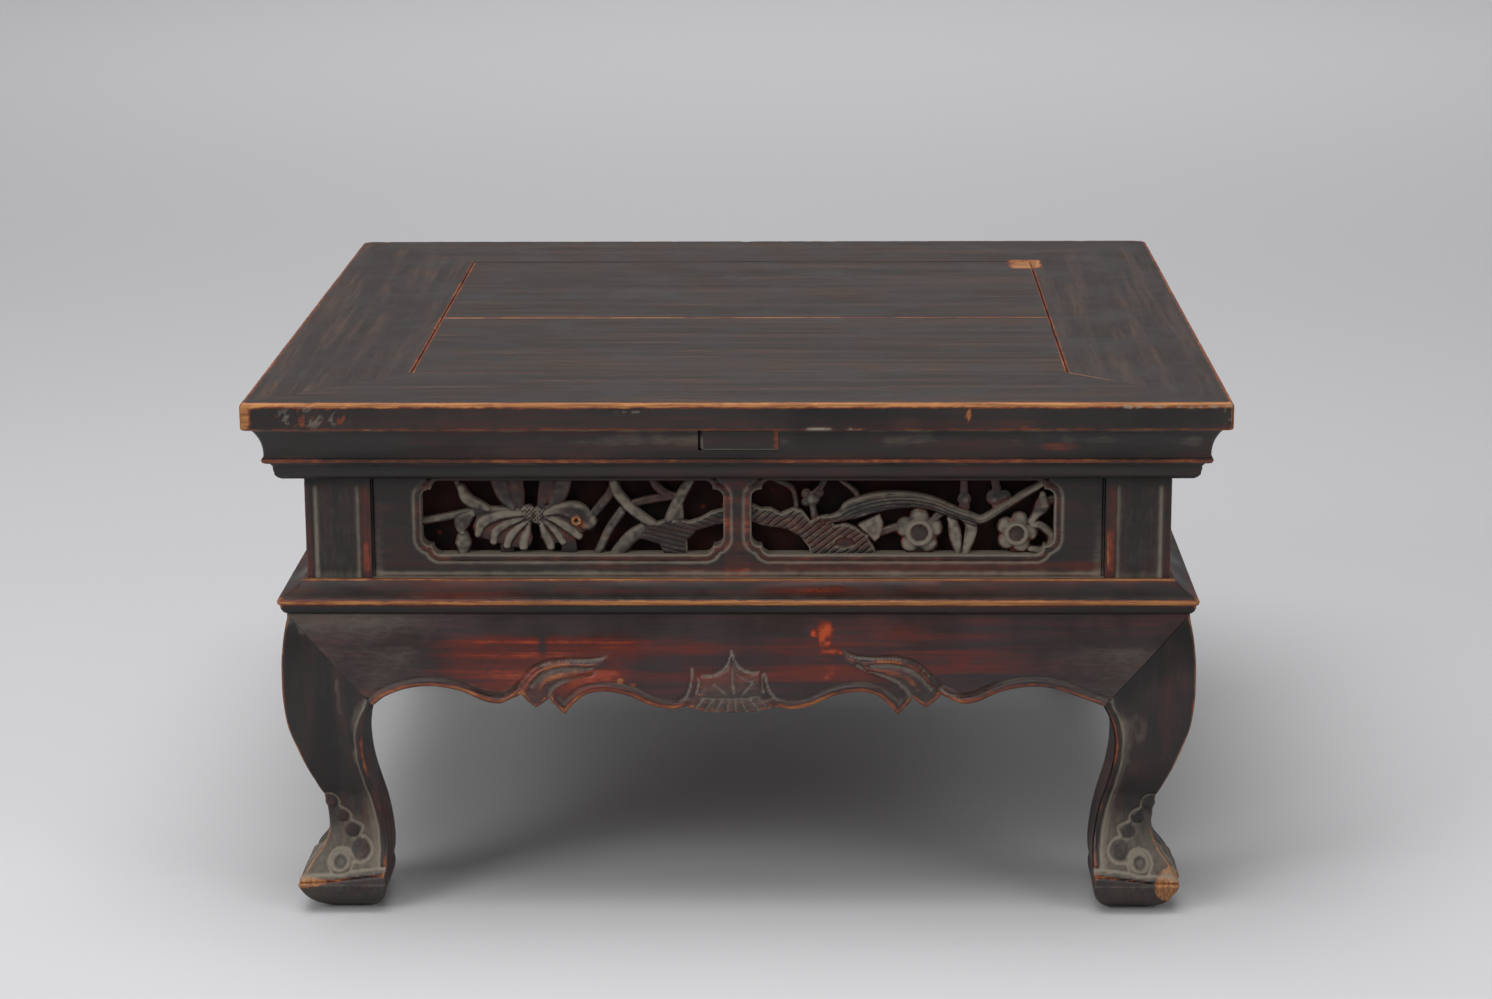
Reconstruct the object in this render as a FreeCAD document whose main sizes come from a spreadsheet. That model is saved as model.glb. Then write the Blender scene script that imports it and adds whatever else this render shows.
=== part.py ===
import FreeCAD, Part
import math
import os
import Sketcher

from FreeCAD import Placement, Rotation, Vector

# Square kang table with a high waist. Millimetres, +Z up.
# The origin is on the floor under the middle of the top, and the front faces -Y.
# Every outline is drawn for the front side or the front left corner, then turned about Z.

# Driving sizes

SIZES = (
    ("table_side", 700, "width and depth over the top's band"),
    ("table_height", 390, "floor to the top's face"),
    ("overrun", 5, "how far a cut runs past the wood"),
    ("fit_gap", 0.2, "play round tenons, tongues and keys"),
    # top frame
    ("top_thickness", 60, "depth of the four top rails"),
    ("rail_width", 109, "width of a top rail, seen from above"),
    ("edge_round", 3, "worn radius of the band"),
    ("band_height", 20, "plain band round the top"),
    ("cove_set", 5.4, "step in under the band"),
    ("cove_depth", 8, "how far the cove goes in"),
    ("cove_height", 22.5, "height of the cove"),
    ("bead_height", 4, "bead under the cove"),
    ("bead_set", 2.6, "step in under the bead"),
    ("quirk_depth", 3, "slope between bead and ovolo, inward"),
    ("quirk_height", 3.5, "slope between bead and ovolo, down"),
    ("ovolo_depth", 6, "how far the ovolo goes in"),
    ("groove_drop", 8, "top face to the board groove"),
    ("groove_height", 8, "height of the board groove"),
    ("groove_depth", 12, "depth of the board groove"),
    # mitre joints of the top frame
    ("tenon_drop", 24, "top face to the corner tenon"),
    ("tenon_height", 14, "height of the corner tenon"),
    ("tenon_outer", 30, "table edge to the tenon's outer cheek"),
    ("tenon_inner", 94, "table edge to the tenon's inner cheek"),
    ("tenon_cover", 25, "wood left beyond the tenon's end"),
    ("corner_pin_radius", 3, "peg through the corner tenon"),
    ("corner_pin_height", 42, "length of that peg"),
    ("corner_pin_edge", 32, "peg to the edge beside it"),
    ("corner_pin_end", 52, "peg to the edge at the rail's end"),
    # boards and battens
    ("board_thickness", 18, "boards of the top panel"),
    ("board_drop", 0.3, "boards lie this far below the frame"),
    ("board_seam", 0.8, "open seam round the boards"),
    ("board_tongue", 10, "reach of the boards' tongues"),
    ("seam_shift", 21, "middle seam, in front of the centre"),
    ("seam_tongue", 6, "reach and height of the middle tongue"),
    ("batten_offset", 130, "batten to the centre"),
    ("batten_width", 40, "width of a batten"),
    ("batten_height", 28, "height of a batten below the boards"),
    ("dovetail_neck", 30, "dovetail at the boards' underside"),
    ("dovetail_head", 36, "dovetail at its widest"),
    ("dovetail_depth", 8, "dovetail into the boards"),
    ("batten_tenon_width", 28, "batten tenon"),
    ("batten_tenon_height", 14, "batten tenon"),
    ("batten_tenon_length", 20, "batten tenon"),
    # repair patch in the front cove
    ("patch_left", -25, "left end of the patch"),
    ("patch_width", 55.4, "length of the patch"),
    ("patch_drop", 20.8, "top face to the patch"),
    ("patch_height", 16, "height of the patch"),
    ("patch_reach", 24, "table edge to the patch's back"),
    ("patch_gap", 1.8, "open slot at the patch's left end"),
    # waist
    ("waist_height", 76.7, "top frame to the lower moulding"),
    ("post_inset", 38.4, "table edge to the post's face"),
    ("arch_inset", 86, "table edge to the post's inner face"),
    ("panel_recess", 3.6, "waist panel behind the posts' faces"),
    ("panel_thickness", 14, "waist panel"),
    ("panel_tongue", 6, "reach of the waist panel's tongues"),
    ("panel_tongue_width", 8, "thickness of those tongues"),
    ("panel_groove", 7, "depth of the grooves for them"),
    ("opening_width", 218, "cartouche"),
    ("opening_height", 55, "cartouche"),
    ("opening_rise", 16, "moulding to the cartouche"),
    ("stile_width", 20, "wood between the cartouches"),
    ("cusp_width", 15, "cusped corner, along"),
    ("cusp_height", 13, "cusped corner, up"),
    ("carving_recess", 2, "carving behind the panel's face"),
    ("carving_thickness", 9, "openwork carving"),
    ("backing_thickness", 6, "board behind the openwork"),
    # lower moulding
    ("moulding_height", 23.3, "lower moulding"),
    ("moulding_inset", 20.7, "table edge to the bead's root"),
    ("moulding_ledge", 35, "table edge to the top ledge"),
    ("moulding_foot", 24.5, "table edge to the moulding's lower edge"),
    ("moulding_width", 41.5, "from the bead's root inward"),
    ("moulding_bead_rise", 6.8, "lower edge to the bead"),
    ("moulding_bead", 5.7, "height of the bead"),
    ("moulding_lip", 1, "upright edge of the ledge"),
    ("moulding_pin_radius", 2.5, "bamboo pin between moulding and apron"),
    ("moulding_pin_height", 24, "bamboo pin"),
    ("moulding_pin_offset", 110, "bamboo pin to the centre"),
    ("moulding_pin_edge", 35, "table edge to the pin"),
    # legs
    ("bulge_inset", 20, "table edge to the legs' widest face"),
    ("leg_swing", 27, "widest face to the ankle, outside"),
    ("knee_inset", 77, "table edge to the knee's inner face"),
    ("inner_swing", 13.6, "knee to the ankle, inside"),
    ("toe_rise", 22, "floor to the toe's edge"),
    ("heel_rise", 27, "floor to the heel's edge"),
    ("sole_outer_inset", 48, "table edge to the sole's outer edge"),
    ("sole_inner_inset", 80, "table edge to the sole's inner edge"),
    ("core_inset", 47, "table edge to the core behind the aprons"),
    ("leg_tenon_length", 17, "tenon at the leg's head"),
    ("leg_tenon_width", 10, "tenon at the leg's head"),
    ("leg_tenon_height", 18, "tenon at the leg's head"),
    ("leg_tenon_edge", 2.6, "post face to the tenon"),
    ("leg_tenon_side", 9, "post's inner face to the tenon"),
    ("key_width", 10, "hanging dovetail at its root"),
    ("key_flare", 2, "how much it widens on each side"),
    ("key_depth", 7, "how far it stands out"),
    ("key_side", 10, "post's inner face to the key's middle"),
    ("key_rise", 25, "lower end of the mitre to the key"),
    ("key_drop", 8, "apron's top to the key"),
    # aprons
    ("mitre_depth", 68, "apron's top to the mitre's lower end"),
    ("apron_depth", 75, "apron's top to its lowest point"),
    ("carving_shift", -5, "the apron's carving is off centre"),
)

# Outlines as shares of the sizes they follow

# (height between the toe and the apron's top, inward swing) of the leg's outer curve, from the
# top down
LEG_OUTER_SHARES = (
    (1.0, 0.195), (0.923, 0.08), (0.834, 0.01), (0.757, 0.0), (0.679, 0.015), (0.591, 0.1),
    (0.502, 0.305), (0.423, 0.515), (0.351, 0.755), (0.298, 0.925), (0.23, 0.995),
    (0.173, 0.985), (0.12, 0.82), (0.077, 0.56), (0.038, 0.355),
)
TOE_SHARE = 0.2
# (height between the heel and the arch's end, inward swing) of its inner curve, from the heel up
LEG_INNER_SHARES = (
    (0.044, 0.978), (0.111, 1.0), (0.193, 0.94), (0.274, 0.838), (0.36, 0.684), (0.444, 0.485),
    (0.526, 0.287), (0.607, 0.125), (0.704, 0.01), (0.8, 0.0), (0.896, 0.184),
)
HEEL_SHARE = 0.9
SOLE_BULGE_SHARE = 0.12

# (out from the carving's middle, down from the apron's top) of one half of the lower edge.
# Each run is one smooth curve, and runs meet in a sharp tip or notch.
APRON_EDGE_SHARES = (
    ((0.0, 0.973), (0.07, 0.965), (0.125, 0.92)),
    ((0.125, 0.92), (0.163, 0.945), (0.22, 0.907), (0.277, 0.813), (0.341, 0.767),
     (0.394, 0.793), (0.428, 0.88), (0.456, 1.0)),
    ((0.456, 1.0), (0.48, 0.91), (0.498, 0.833)),
    ((0.498, 0.833), (0.534, 0.927)),
    ((0.534, 0.927), (0.56, 0.85), (0.574, 0.787)),
    ((0.574, 0.787), (0.617, 0.866), (0.64, 0.887), (0.678, 0.86), (0.742, 0.76),
     (0.816, 0.713), (0.884, 0.733), (0.945, 0.81)),
)

# Openwork of the cartouches: across and up, as shares of the opening, with half the width of
# a stroke as a share of its height. Solid patches are closed outlines, blossoms are discs.
LEFT_STROKE_SHARES = (
    ((-0.03, 0.48, 0.06), (0.175, 0.6, 0.07), (0.36, 0.58, 0.07)),
    ((0.1, 1.05, 0.06), (0.16, 0.72, 0.08), (0.24, 0.6, 0.07)),
    ((0.14, 0.6, 0.07), (0.133, 0.36, 0.1), (0.14, -0.05, 0.08)),
    ((0.25, 1.05, 0.1), (0.3, 0.8, 0.1), (0.36, 0.57, 0.08)),
    ((0.33, 1.05, 0.08), (0.365, 0.57, 0.08)),
    ((0.42, 1.05, 0.08), (0.39, 0.57, 0.08)),
    ((0.49, 1.05, 0.1), (0.45, 0.8, 0.1), (0.38, 0.57, 0.08)),
    ((0.29, 0.2, 0.07), (0.29, -0.05, 0.08)),
    ((0.48, 0.25, 0.05), (0.49, -0.05, 0.06)),
    ((0.56, -0.05, 0.08), (0.61, 0.35, 0.08), (0.675, 0.62, 0.07)),
    ((0.645, -0.05, 0.1), (0.71, 0.3, 0.11), (0.78, 0.42, 0.1)),
    ((0.575, 0.5, 0.06), (0.65, 1.05, 0.06)),
    ((0.645, 1.05, 0.08), (0.71, 0.6, 0.08), (0.78, 0.36, 0.08)),
    ((0.7, 0.74, 0.05), (0.84, 0.82, 0.05)),
    ((0.72, 1.05, 0.05), (0.84, 0.76, 0.06)),
    ((0.82, 0.4, 0.08), (0.9, 1.05, 0.08)),
    ((0.87, 0.45, 0.05), (0.85, 0.7, 0.02)),
)
LEFT_PATCH_SHARES = (
    ((0.38, 0.62), (0.2, 0.55), (0.17, 0.38), (0.24, 0.2), (0.3, 0.14), (0.37, 0.13), (0.38, 0.4)),
    ((0.38, 0.62), (0.46, 0.66), (0.54, 0.6), (0.585, 0.42), (0.54, 0.28), (0.43, 0.1),
     (0.39, 0.2), (0.4, 0.4)),
    ((0.72, 0.32), (0.8, 0.46), (0.9, 0.46), (0.97, 0.6), (1.02, 0.66), (1.02, 0.44),
     (0.95, 0.36), (0.88, 0.25), (0.875, -0.05), (0.77, -0.05), (0.76, 0.2)),
)
LEFT_DISC_SHARES = ((0.375, 0.57, 0.16), (0.53, 0.47, 0.17))
RIGHT_STROKE_SHARES = (
    ((0.13, 1.05, 0.05), (0.155, 0.8, 0.05), (0.16, 0.55, 0.06)),
    ((0.255, 1.05, 0.05), (0.25, 0.7, 0.05), (0.21, 0.6, 0.06)),
    ((0.27, 1.05, 0.05), (0.34, 0.78, 0.07)),
    ((0.27, 0.45, 0.1), (0.33, 0.67, 0.15), (0.45, 0.76, 0.16), (0.56, 0.7, 0.13),
     (0.66, 0.56, 0.1), (0.73, 0.48, 0.09), (0.79, 0.54, 0.08), (0.91, 0.82, 0.06),
     (0.97, 1.05, 0.06)),
    ((0.4, 0.36, 0.09), (0.42, 0.05, 0.09), (0.47, -0.05, 0.06)),
    ((0.47, 0.3, 0.06), (0.43, 0.2, 0.08)),
    ((0.685, 0.45, 0.13), (0.69, 0.2, 0.12), (0.69, -0.05, 0.07)),
    ((0.66, 0.55, 0.06), (0.62, 0.42, 0.06)),
    ((0.69, 0.72, 0.08), (0.7, 1.05, 0.08)),
    ((0.8, 0.7, 0.08), (0.8, 1.05, 0.1)),
    ((0.94, 0.72, 0.08), (0.91, 0.42, 0.07)),
    ((0.94, 0.7, 0.05), (1.02, 0.75, 0.05)),
    ((0.92, 0.32, 0.05), (0.96, 0.3, 0.05), (0.985, 0.16, 0.05), (0.95, 0.02, 0.05),
     (0.9, 0.0, 0.05)),
    ((0.54, 0.0, 0.08), (0.54, -0.05, 0.08)),
    ((0.855, 0.0, 0.08), (0.855, -0.05, 0.08)),
)
RIGHT_PATCH_SHARES = (
    ((-0.02, 0.64), (0.06, 0.63), (0.1, 0.53), (0.16, 0.58), (0.2, 0.44), (0.25, 0.49),
     (0.28, 0.37), (0.35, 0.37), (0.4, 0.15), (0.42, -0.05), (0.2, -0.05), (0.18, 0.1),
     (0.12, 0.28), (0.04, 0.44), (-0.02, 0.46)),
)
RIGHT_DISC_SHARES = (
    (0.205, 0.74, 0.16), (0.685, 0.73, 0.14), (0.8, 0.73, 0.18),
    (0.54, 0.29, 0.3), (0.855, 0.29, 0.29),
)

# Side names with their quarter turns about Z, seen from above
SIDES = (("front", 0), ("right", 1), ("back", 2), ("left", 3))
CORNERS = (("front_left", 0), ("front_right", 1), ("back_right", 2), ("back_left", 3))
RIGHT_ANGLE = 90

# Arcs are given by how far they bulge from their chord, as a share of the chord.
# A plus bulges to the left of the way round.
QUARTER_SHARE = 0.2071
COVE_SHARE = -0.11
BEAD_SHARE = 0.35
OVOLO_SHARE = 0.16
LEDGE_SHARE = -0.06


# Sizes as numbers and as sheet formulas at once

class Size:
    """A length with the sheet formula that gives it."""

    def __init__(self, value, formula):
        self.value = value
        self.formula = formula

    def __float__(self):
        return float(self.value)

    def __add__(self, other):
        return Size(self.value + float(other), f"({self.formula} + {formula_of(other)})")

    def __sub__(self, other):
        return Size(self.value - float(other), f"({self.formula} - {formula_of(other)})")

    def __mul__(self, other):
        return Size(self.value * float(other), f"({self.formula} * {formula_of(other)})")

    def __truediv__(self, other):
        return Size(self.value / float(other), f"({self.formula} / {formula_of(other)})")

    def __neg__(self):
        return Size(-self.value, f"(0 - {self.formula})")

    __rmul__ = __mul__


def formula_of(number):
    return number.formula if isinstance(number, Size) else repr(float(number))


def root_of(size):
    return Size(math.sqrt(size.value), f"sqrt({size.formula})")


class Sizes:
    """The sheet's sizes by name, with the levels and half widths that follow from them."""

    def __init__(self, sheet):
        for name, _, _ in SIZES:
            setattr(self, name, Size(float(sheet.get(name)), f"{sheet.Name}.{name}"))
        self.half = self.table_side / 2
        self.inner = self.half - self.rail_width
        self.frame_base = self.table_height - self.top_thickness
        self.ledge = self.frame_base - self.waist_height
        self.apron_top = self.ledge - self.moulding_height
        self.post_half = self.half - self.post_inset
        self.arch_half = self.half - self.arch_inset
        self.core_half = self.half - self.core_inset
        self.panel_half = self.post_half - self.panel_recess
        self.tongue_half = self.panel_half - (self.panel_thickness - self.panel_tongue_width) / 2
        self.panel_back = self.panel_half - self.panel_thickness
        self.tenon_base = self.table_height - self.tenon_drop - self.tenon_height
        self.board_base = self.table_height - self.board_drop - self.board_thickness
        self.batten_base = self.board_base - self.batten_height
        self.batten_tenon_base = self.batten_base + (self.batten_height - self.batten_tenon_height) / 2
        self.bulge_half = self.half - self.bulge_inset
        self.bulge_top = self.bulge_half - self.leg_swing * LEG_OUTER_SHARES[0][1]
        self.mitre_base = self.apron_top - self.mitre_depth
        self.tenon_near = self.arch_half + self.leg_tenon_side
        self.tenon_face = self.post_half - self.leg_tenon_edge


def make_sheet(doc):
    sheet = doc.addObject("Spreadsheet::Sheet", "sizes")
    for row, (name, value, note) in enumerate(SIZES, start=1):
        sheet.set(f"A{row}", name)
        sheet.set(f"B{row}", str(value))
        sheet.set(f"C{row}", note)
        sheet.setAlias(f"B{row}", name)
    doc.recompute()
    return sheet


# Sketches, pads and pockets

def rectangle(left, right, low, high):
    return [(left, low), (right, low), (right, high), (left, high)]


def arc_between(start, end, bulge):
    """The arc's middle point, and its radius as a formula."""
    along, up = end[0] - start[0], end[1] - start[1]
    chord = root_of(along * along + up * up)
    middle = (
        float(start[0] + along / 2) - bulge * float(up),
        float(start[1] + up / 2) + bulge * float(along),
    )
    size = abs(bulge)
    return middle, chord * (size / 2 + 1 / (8 * size))


def bind(sketch, kind, places, value):
    index = sketch.addConstraint(Sketcher.Constraint(kind, *places, float(value)))
    sketch.setExpression(f"Constraints[{index}]", formula_of(value))


def add_edge(sketch, start, end, bulge):
    """Adds a line or an arc, and gives its index with the ends that lie at start and end."""
    first, last = (Vector(float(p[0]), float(p[1]), 0) for p in (start, end))
    if not bulge:
        return sketch.addGeometry(Part.LineSegment(first, last)), 1, 2
    middle, radius = arc_between(start, end, bulge)
    edge = sketch.addGeometry(Part.Arc(first, Vector(*middle, 0), last))
    bind(sketch, "Radius", (edge,), radius)
    if sketch.getPoint(edge, 1).distanceToPoint(first) < sketch.getPoint(edge, 2).distanceToPoint(first):
        return edge, 1, 2
    return edge, 2, 1


def add_loop(sketch, corners):
    """A closed outline. A corner is (across, up) or (across, up, bulge of the next edge)."""
    edges = []
    for corner, following in zip(corners, corners[1:] + corners[:1]):
        bulge = corner[2] if len(corner) > 2 else 0
        edges.append(add_edge(sketch, corner, following, bulge))
    for corner, (edge, begin, _), (before, _, finish) in zip(corners, edges, edges[-1:] + edges[:-1]):
        sketch.addConstraint(Sketcher.Constraint("Coincident", before, finish, edge, begin))
        bind(sketch, "DistanceX", (-1, 1, edge, begin), corner[0])
        bind(sketch, "DistanceY", (-1, 1, edge, begin), corner[1])


def add_circle(sketch, across, up, radius):
    centre = Vector(float(across), float(up), 0)
    edge = sketch.addGeometry(Part.Circle(centre, Vector(0, 0, 1), float(radius)))
    bind(sketch, "DistanceX", (-1, 1, edge, 3), across)
    bind(sketch, "DistanceY", (-1, 1, edge, 3), up)
    bind(sketch, "Radius", (edge,), radius)


def prism(body, kind, name, plane, level, length, loops=(), circles=()):
    """Pads or pockets a sketch from its level, along its plane's normal."""
    sketch = body.newObject("Sketcher::SketchObject", f"{name}_sketch")
    support = next(item for item in body.Origin.OriginFeatures if item.Role == plane)
    sketch.AttachmentSupport = (support, "")
    sketch.MapMode = "FlatFace"
    sketch.setExpression("AttachmentOffset.Base.z", formula_of(level))
    for corners in loops:
        add_loop(sketch, list(corners))
    for circle in circles:
        add_circle(sketch, *circle)
    feature = body.newObject(f"PartDesign::{kind}", name)
    feature.Profile = sketch
    feature.setExpression("Length", formula_of(length))
    feature.Reversed = kind == "Pocket"
    return feature


def new_body(doc, label, turns=0):
    body = doc.addObject("PartDesign::Body", label)
    body.Label = label
    body.Placement = Placement(Vector(0, 0, 0), Rotation(Vector(0, 0, 1), turns * RIGHT_ANGLE))
    return body


def mirrored(loops):
    """The same outlines on the other side of the middle plane."""
    return [[(-corner[0], corner[1]) for corner in reversed(loop)] for loop in loops]


def both_sides(loops):
    return list(loops) + mirrored(loops)


# Top frame

def rail_profile(size):
    """Section of a top rail: across is Y, up is Z."""
    top = size.table_height

    def corner(inset, drop, *bulge):
        return (inset - size.half, top - drop, *bulge)

    none = size.half * 0
    cove_in = size.cove_set + size.cove_depth
    cove_end = size.band_height + size.cove_height
    bead_end = cove_end + size.bead_height
    quirk_in = cove_in + size.bead_set
    ovolo_in = quirk_in + size.quirk_depth
    groove_base = size.groove_drop + size.groove_height
    groove_in = size.rail_width - size.groove_depth
    return [
        corner(size.rail_width, none),
        corner(size.edge_round, none, -QUARTER_SHARE),
        corner(none, size.edge_round),
        corner(none, size.band_height - size.edge_round, -QUARTER_SHARE),
        corner(size.edge_round, size.band_height),
        corner(size.cove_set, size.band_height, -COVE_SHARE),
        corner(cove_in, cove_end, -BEAD_SHARE),
        corner(cove_in, bead_end),
        corner(quirk_in, bead_end),
        corner(ovolo_in, bead_end + size.quirk_height, -OVOLO_SHARE),
        corner(ovolo_in + size.ovolo_depth, size.top_thickness),
        corner(size.rail_width, size.top_thickness),
        corner(size.rail_width, groove_base),
        corner(groove_in, groove_base),
        corner(groove_in, size.groove_drop),
        corner(size.rail_width, size.groove_drop),
    ]


def mitre_loops(size, reach):
    """Two triangles outside the corner mitres of a rail that is reach wide."""
    far = size.half + size.overrun
    near = size.half - reach - size.overrun
    return both_sides([[(-far, -far), (-near, -near), (-far, -near)]])


def add_rail_blank(body, size):
    prism(body, "Pad", "rail", "YZ_Plane", -size.half, size.table_side, [rail_profile(size)])
    base = size.frame_base - size.overrun
    depth = size.top_thickness + size.overrun * 2
    prism(body, "Pocket", "mitres", "XY_Plane", base, depth, mitre_loops(size, size.rail_width))


def add_underside_cuts(body, size):
    """Groove for the waist panel, and mortises for the tenons of the two legs."""
    gap = size.fit_gap
    reach = size.arch_half + size.panel_groove
    face, back = -size.tongue_half - gap, -size.tongue_half + size.panel_tongue_width + gap
    base = size.frame_base - size.overrun
    groove = rectangle(-reach, reach, face, back)
    depth = size.panel_groove + size.overrun
    prism(body, "Pocket", "panel_groove", "XY_Plane", base, depth, [groove])
    near, far = size.tenon_near - gap, size.tenon_near + size.leg_tenon_length + gap
    outer, inner = size.tenon_face + gap, size.tenon_face - size.leg_tenon_width - gap
    mortises = both_sides([rectangle(-far, -near, -outer, -inner)])
    depth = size.leg_tenon_height + size.overrun + gap
    prism(body, "Pocket", "leg_mortises", "XY_Plane", base, depth, mortises)


def tenoned_rail(doc, size, label, turns):
    """Front or back rail: tenons at both ends, mortises for the battens."""
    body = new_body(doc, label, turns)
    add_rail_blank(body, size)
    end, root = size.half - size.tenon_cover, size.inner
    outer, inner = size.half - size.tenon_outer, size.half - size.tenon_inner
    tenons = both_sides([rectangle(-end, -root, -outer, -inner)])
    prism(body, "Pad", "tenons", "XY_Plane", size.tenon_base, size.tenon_height, tenons)
    along, across = size.half - size.corner_pin_edge, size.half - size.corner_pin_end
    radius = size.corner_pin_radius + size.fit_gap
    holes = [(-along, -across, radius), (along, -across, radius)]
    base, depth = size.tenon_base - size.overrun, size.tenon_height + size.overrun * 2
    prism(body, "Pocket", "pin_holes", "XY_Plane", base, depth, circles=holes)
    add_underside_cuts(body, size)
    near = size.batten_offset - size.batten_tenon_width / 2 - size.fit_gap
    far = size.batten_offset + size.batten_tenon_width / 2 + size.fit_gap
    low, high = size.batten_tenon_base - size.fit_gap, size.batten_tenon_base + size.batten_tenon_height
    mortises = both_sides([rectangle(-far, -near, low, high + size.fit_gap)])
    depth = size.batten_tenon_length + size.overrun + size.fit_gap
    level = size.inner - size.overrun
    prism(body, "Pocket", "batten_mortises", "XZ_Plane", level, depth, mortises)
    return body


def mortised_rail(doc, size, label, turns):
    """Left or right rail: mortises for the corner tenons, and holes for their pegs."""
    body = new_body(doc, label, turns)
    add_rail_blank(body, size)
    gap = size.fit_gap
    near, far = size.half - size.tenon_inner - gap, size.half - size.tenon_outer + gap
    end, root = size.half - size.tenon_cover + gap, size.inner - size.overrun
    mortises = both_sides([rectangle(-far, -near, -end, -root)])
    base, depth = size.tenon_base - gap, size.tenon_height + gap * 2
    prism(body, "Pocket", "mortises", "XY_Plane", base, depth, mortises)
    along, across = size.half - size.corner_pin_end, size.half - size.corner_pin_edge
    radius = size.corner_pin_radius + gap
    holes = [(-along, -across, radius), (along, -across, radius)]
    base, depth = size.frame_base - size.overrun, size.corner_pin_height + size.overrun + gap
    prism(body, "Pocket", "pin_holes", "XY_Plane", base, depth, circles=holes)
    add_underside_cuts(body, size)
    return body


def cut_patch_seat(body, size):
    """Seat of the repair patch in the front cove, with the open slot at its left end."""
    low = size.table_height - size.patch_drop - size.patch_height
    high = size.table_height - size.patch_drop
    seat = rectangle(-size.half - size.overrun, size.patch_reach - size.half, low, high)
    level = size.patch_left - size.patch_gap
    prism(body, "Pocket", "patch_seat", "YZ_Plane", level, size.patch_width + size.patch_gap, [seat])


def edge_patch(doc, size):
    """Repair patch: a short length of the rail's profile, cut down to the seat."""
    body = new_body(doc, "front_edge_patch")
    level, width = size.patch_left, size.patch_width - size.fit_gap
    prism(body, "Pad", "blank", "YZ_Plane", level, width, [rail_profile(size)])
    low = size.table_height - size.patch_drop - size.patch_height
    high = size.table_height - size.patch_drop - size.fit_gap
    front, back = -size.half - size.overrun * 2, size.inner * 0
    floor, roof = size.frame_base - size.overrun, size.table_height + size.overrun
    waste = rectangle(front, back, floor, roof)
    kept = rectangle(front + size.overrun, size.patch_reach - size.half, low, high)
    level, width = level - size.overrun, width + size.overrun * 2
    prism(body, "Pocket", "waste", "YZ_Plane", level, width, [waste, kept])
    return body


def corner_pins(doc, size):
    """The four pegs, one through each corner tenon of the top frame."""
    pins = []
    along, across = size.half - size.corner_pin_edge, size.half - size.corner_pin_end
    for x, y in ((-along, -across), (along, -across), (along, across), (-along, across)):
        pins.append(upright_pin(doc, "corner_pin", x, y, size.frame_base,
                                size.corner_pin_radius, size.corner_pin_height))
    return compound(doc, "corner_pins", pins)


def upright_pin(doc, name, x, y, z, radius, height):
    pin = doc.addObject("Part::Cylinder", name)
    pin.setExpression("Radius", formula_of(radius))
    pin.setExpression("Height", formula_of(height))
    pin.setExpression("Placement.Base.x", formula_of(x))
    pin.setExpression("Placement.Base.y", formula_of(y))
    pin.setExpression("Placement.Base.z", formula_of(z))
    return pin


def compound(doc, label, items):
    group = doc.addObject("Part::Compound", label)
    group.Label = label
    group.Links = items
    group.Placement = Placement()
    return group


# Boards and battens of the top

def batten_slots(body, size):
    """Dovetail slots for the battens, in the boards' underside."""
    base, roof = size.board_base, size.board_base + size.dovetail_depth
    below = base - size.overrun
    slots = []
    for middle in (-size.batten_offset, size.batten_offset):
        neck_left, neck_right = middle - size.dovetail_neck / 2, middle + size.dovetail_neck / 2
        head_left, head_right = middle - size.dovetail_head / 2, middle + size.dovetail_head / 2
        slots.append([(neck_left, below), (neck_right, below), (neck_right, base),
                      (head_right, roof), (head_left, roof), (neck_left, base)])
    prism(body, "Pocket", "batten_slots", "XZ_Plane", -size.inner, size.inner * 2, slots)


def board(doc, size, label, front, back, grooved):
    """One board between front and back, with tongues into the rails and the middle joint."""
    body = new_body(doc, label)
    side = size.inner - size.board_seam
    seam = -size.seam_shift
    field = rectangle(-side, side, front, back)
    prism(body, "Pad", "field", "XY_Plane", size.board_base, size.board_thickness, [field])
    reach = size.inner + size.board_tongue
    tongue_base = size.table_height - size.groove_drop - size.groove_height
    height = size.groove_height - size.fit_gap
    tongue_front, tongue_back = (seam, reach) if grooved else (-reach, seam)
    tongue = rectangle(-reach, reach, tongue_front, tongue_back)
    prism(body, "Pad", "tongue", "XY_Plane", tongue_base, height, [tongue])
    middle = tongue_base + (height - size.seam_tongue) / 2
    kind, gap = ("Pocket", size.fit_gap) if grooved else ("Pad", size.fit_gap * 0)
    joint = rectangle(-reach - gap * 2, reach + gap * 2, seam - gap, seam + size.seam_tongue + gap)
    prism(body, kind, "seam_joint", "XY_Plane", middle - gap, size.seam_tongue + gap * 2, [joint])
    batten_slots(body, size)
    return body


def batten(doc, size, label, middle):
    """Dovetailed batten from the front rail to the back rail."""
    body = new_body(doc, label)
    gap = size.fit_gap
    base, seat = size.batten_base, size.board_base
    roof = seat + size.dovetail_depth - gap
    left, right = middle - size.batten_width / 2, middle + size.batten_width / 2
    neck, head = size.dovetail_neck / 2 - gap, size.dovetail_head / 2 - gap
    section = [
        (left, base), (right, base), (right, seat), (middle + neck, seat), (middle + head, roof),
        (middle - head, roof), (middle - neck, seat), (left, seat),
    ]
    prism(body, "Pad", "bar", "XZ_Plane", -size.inner, size.inner * 2, [section])
    reach = size.inner + size.batten_tenon_length
    low, high = size.batten_tenon_base, size.batten_tenon_base + size.batten_tenon_height
    left, right = middle - size.batten_tenon_width / 2, middle + size.batten_tenon_width / 2
    tenons = rectangle(left, right, low, high)
    prism(body, "Pad", "tenons", "XZ_Plane", -reach, reach * 2, [tenons])
    return body


# Lower moulding

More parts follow.
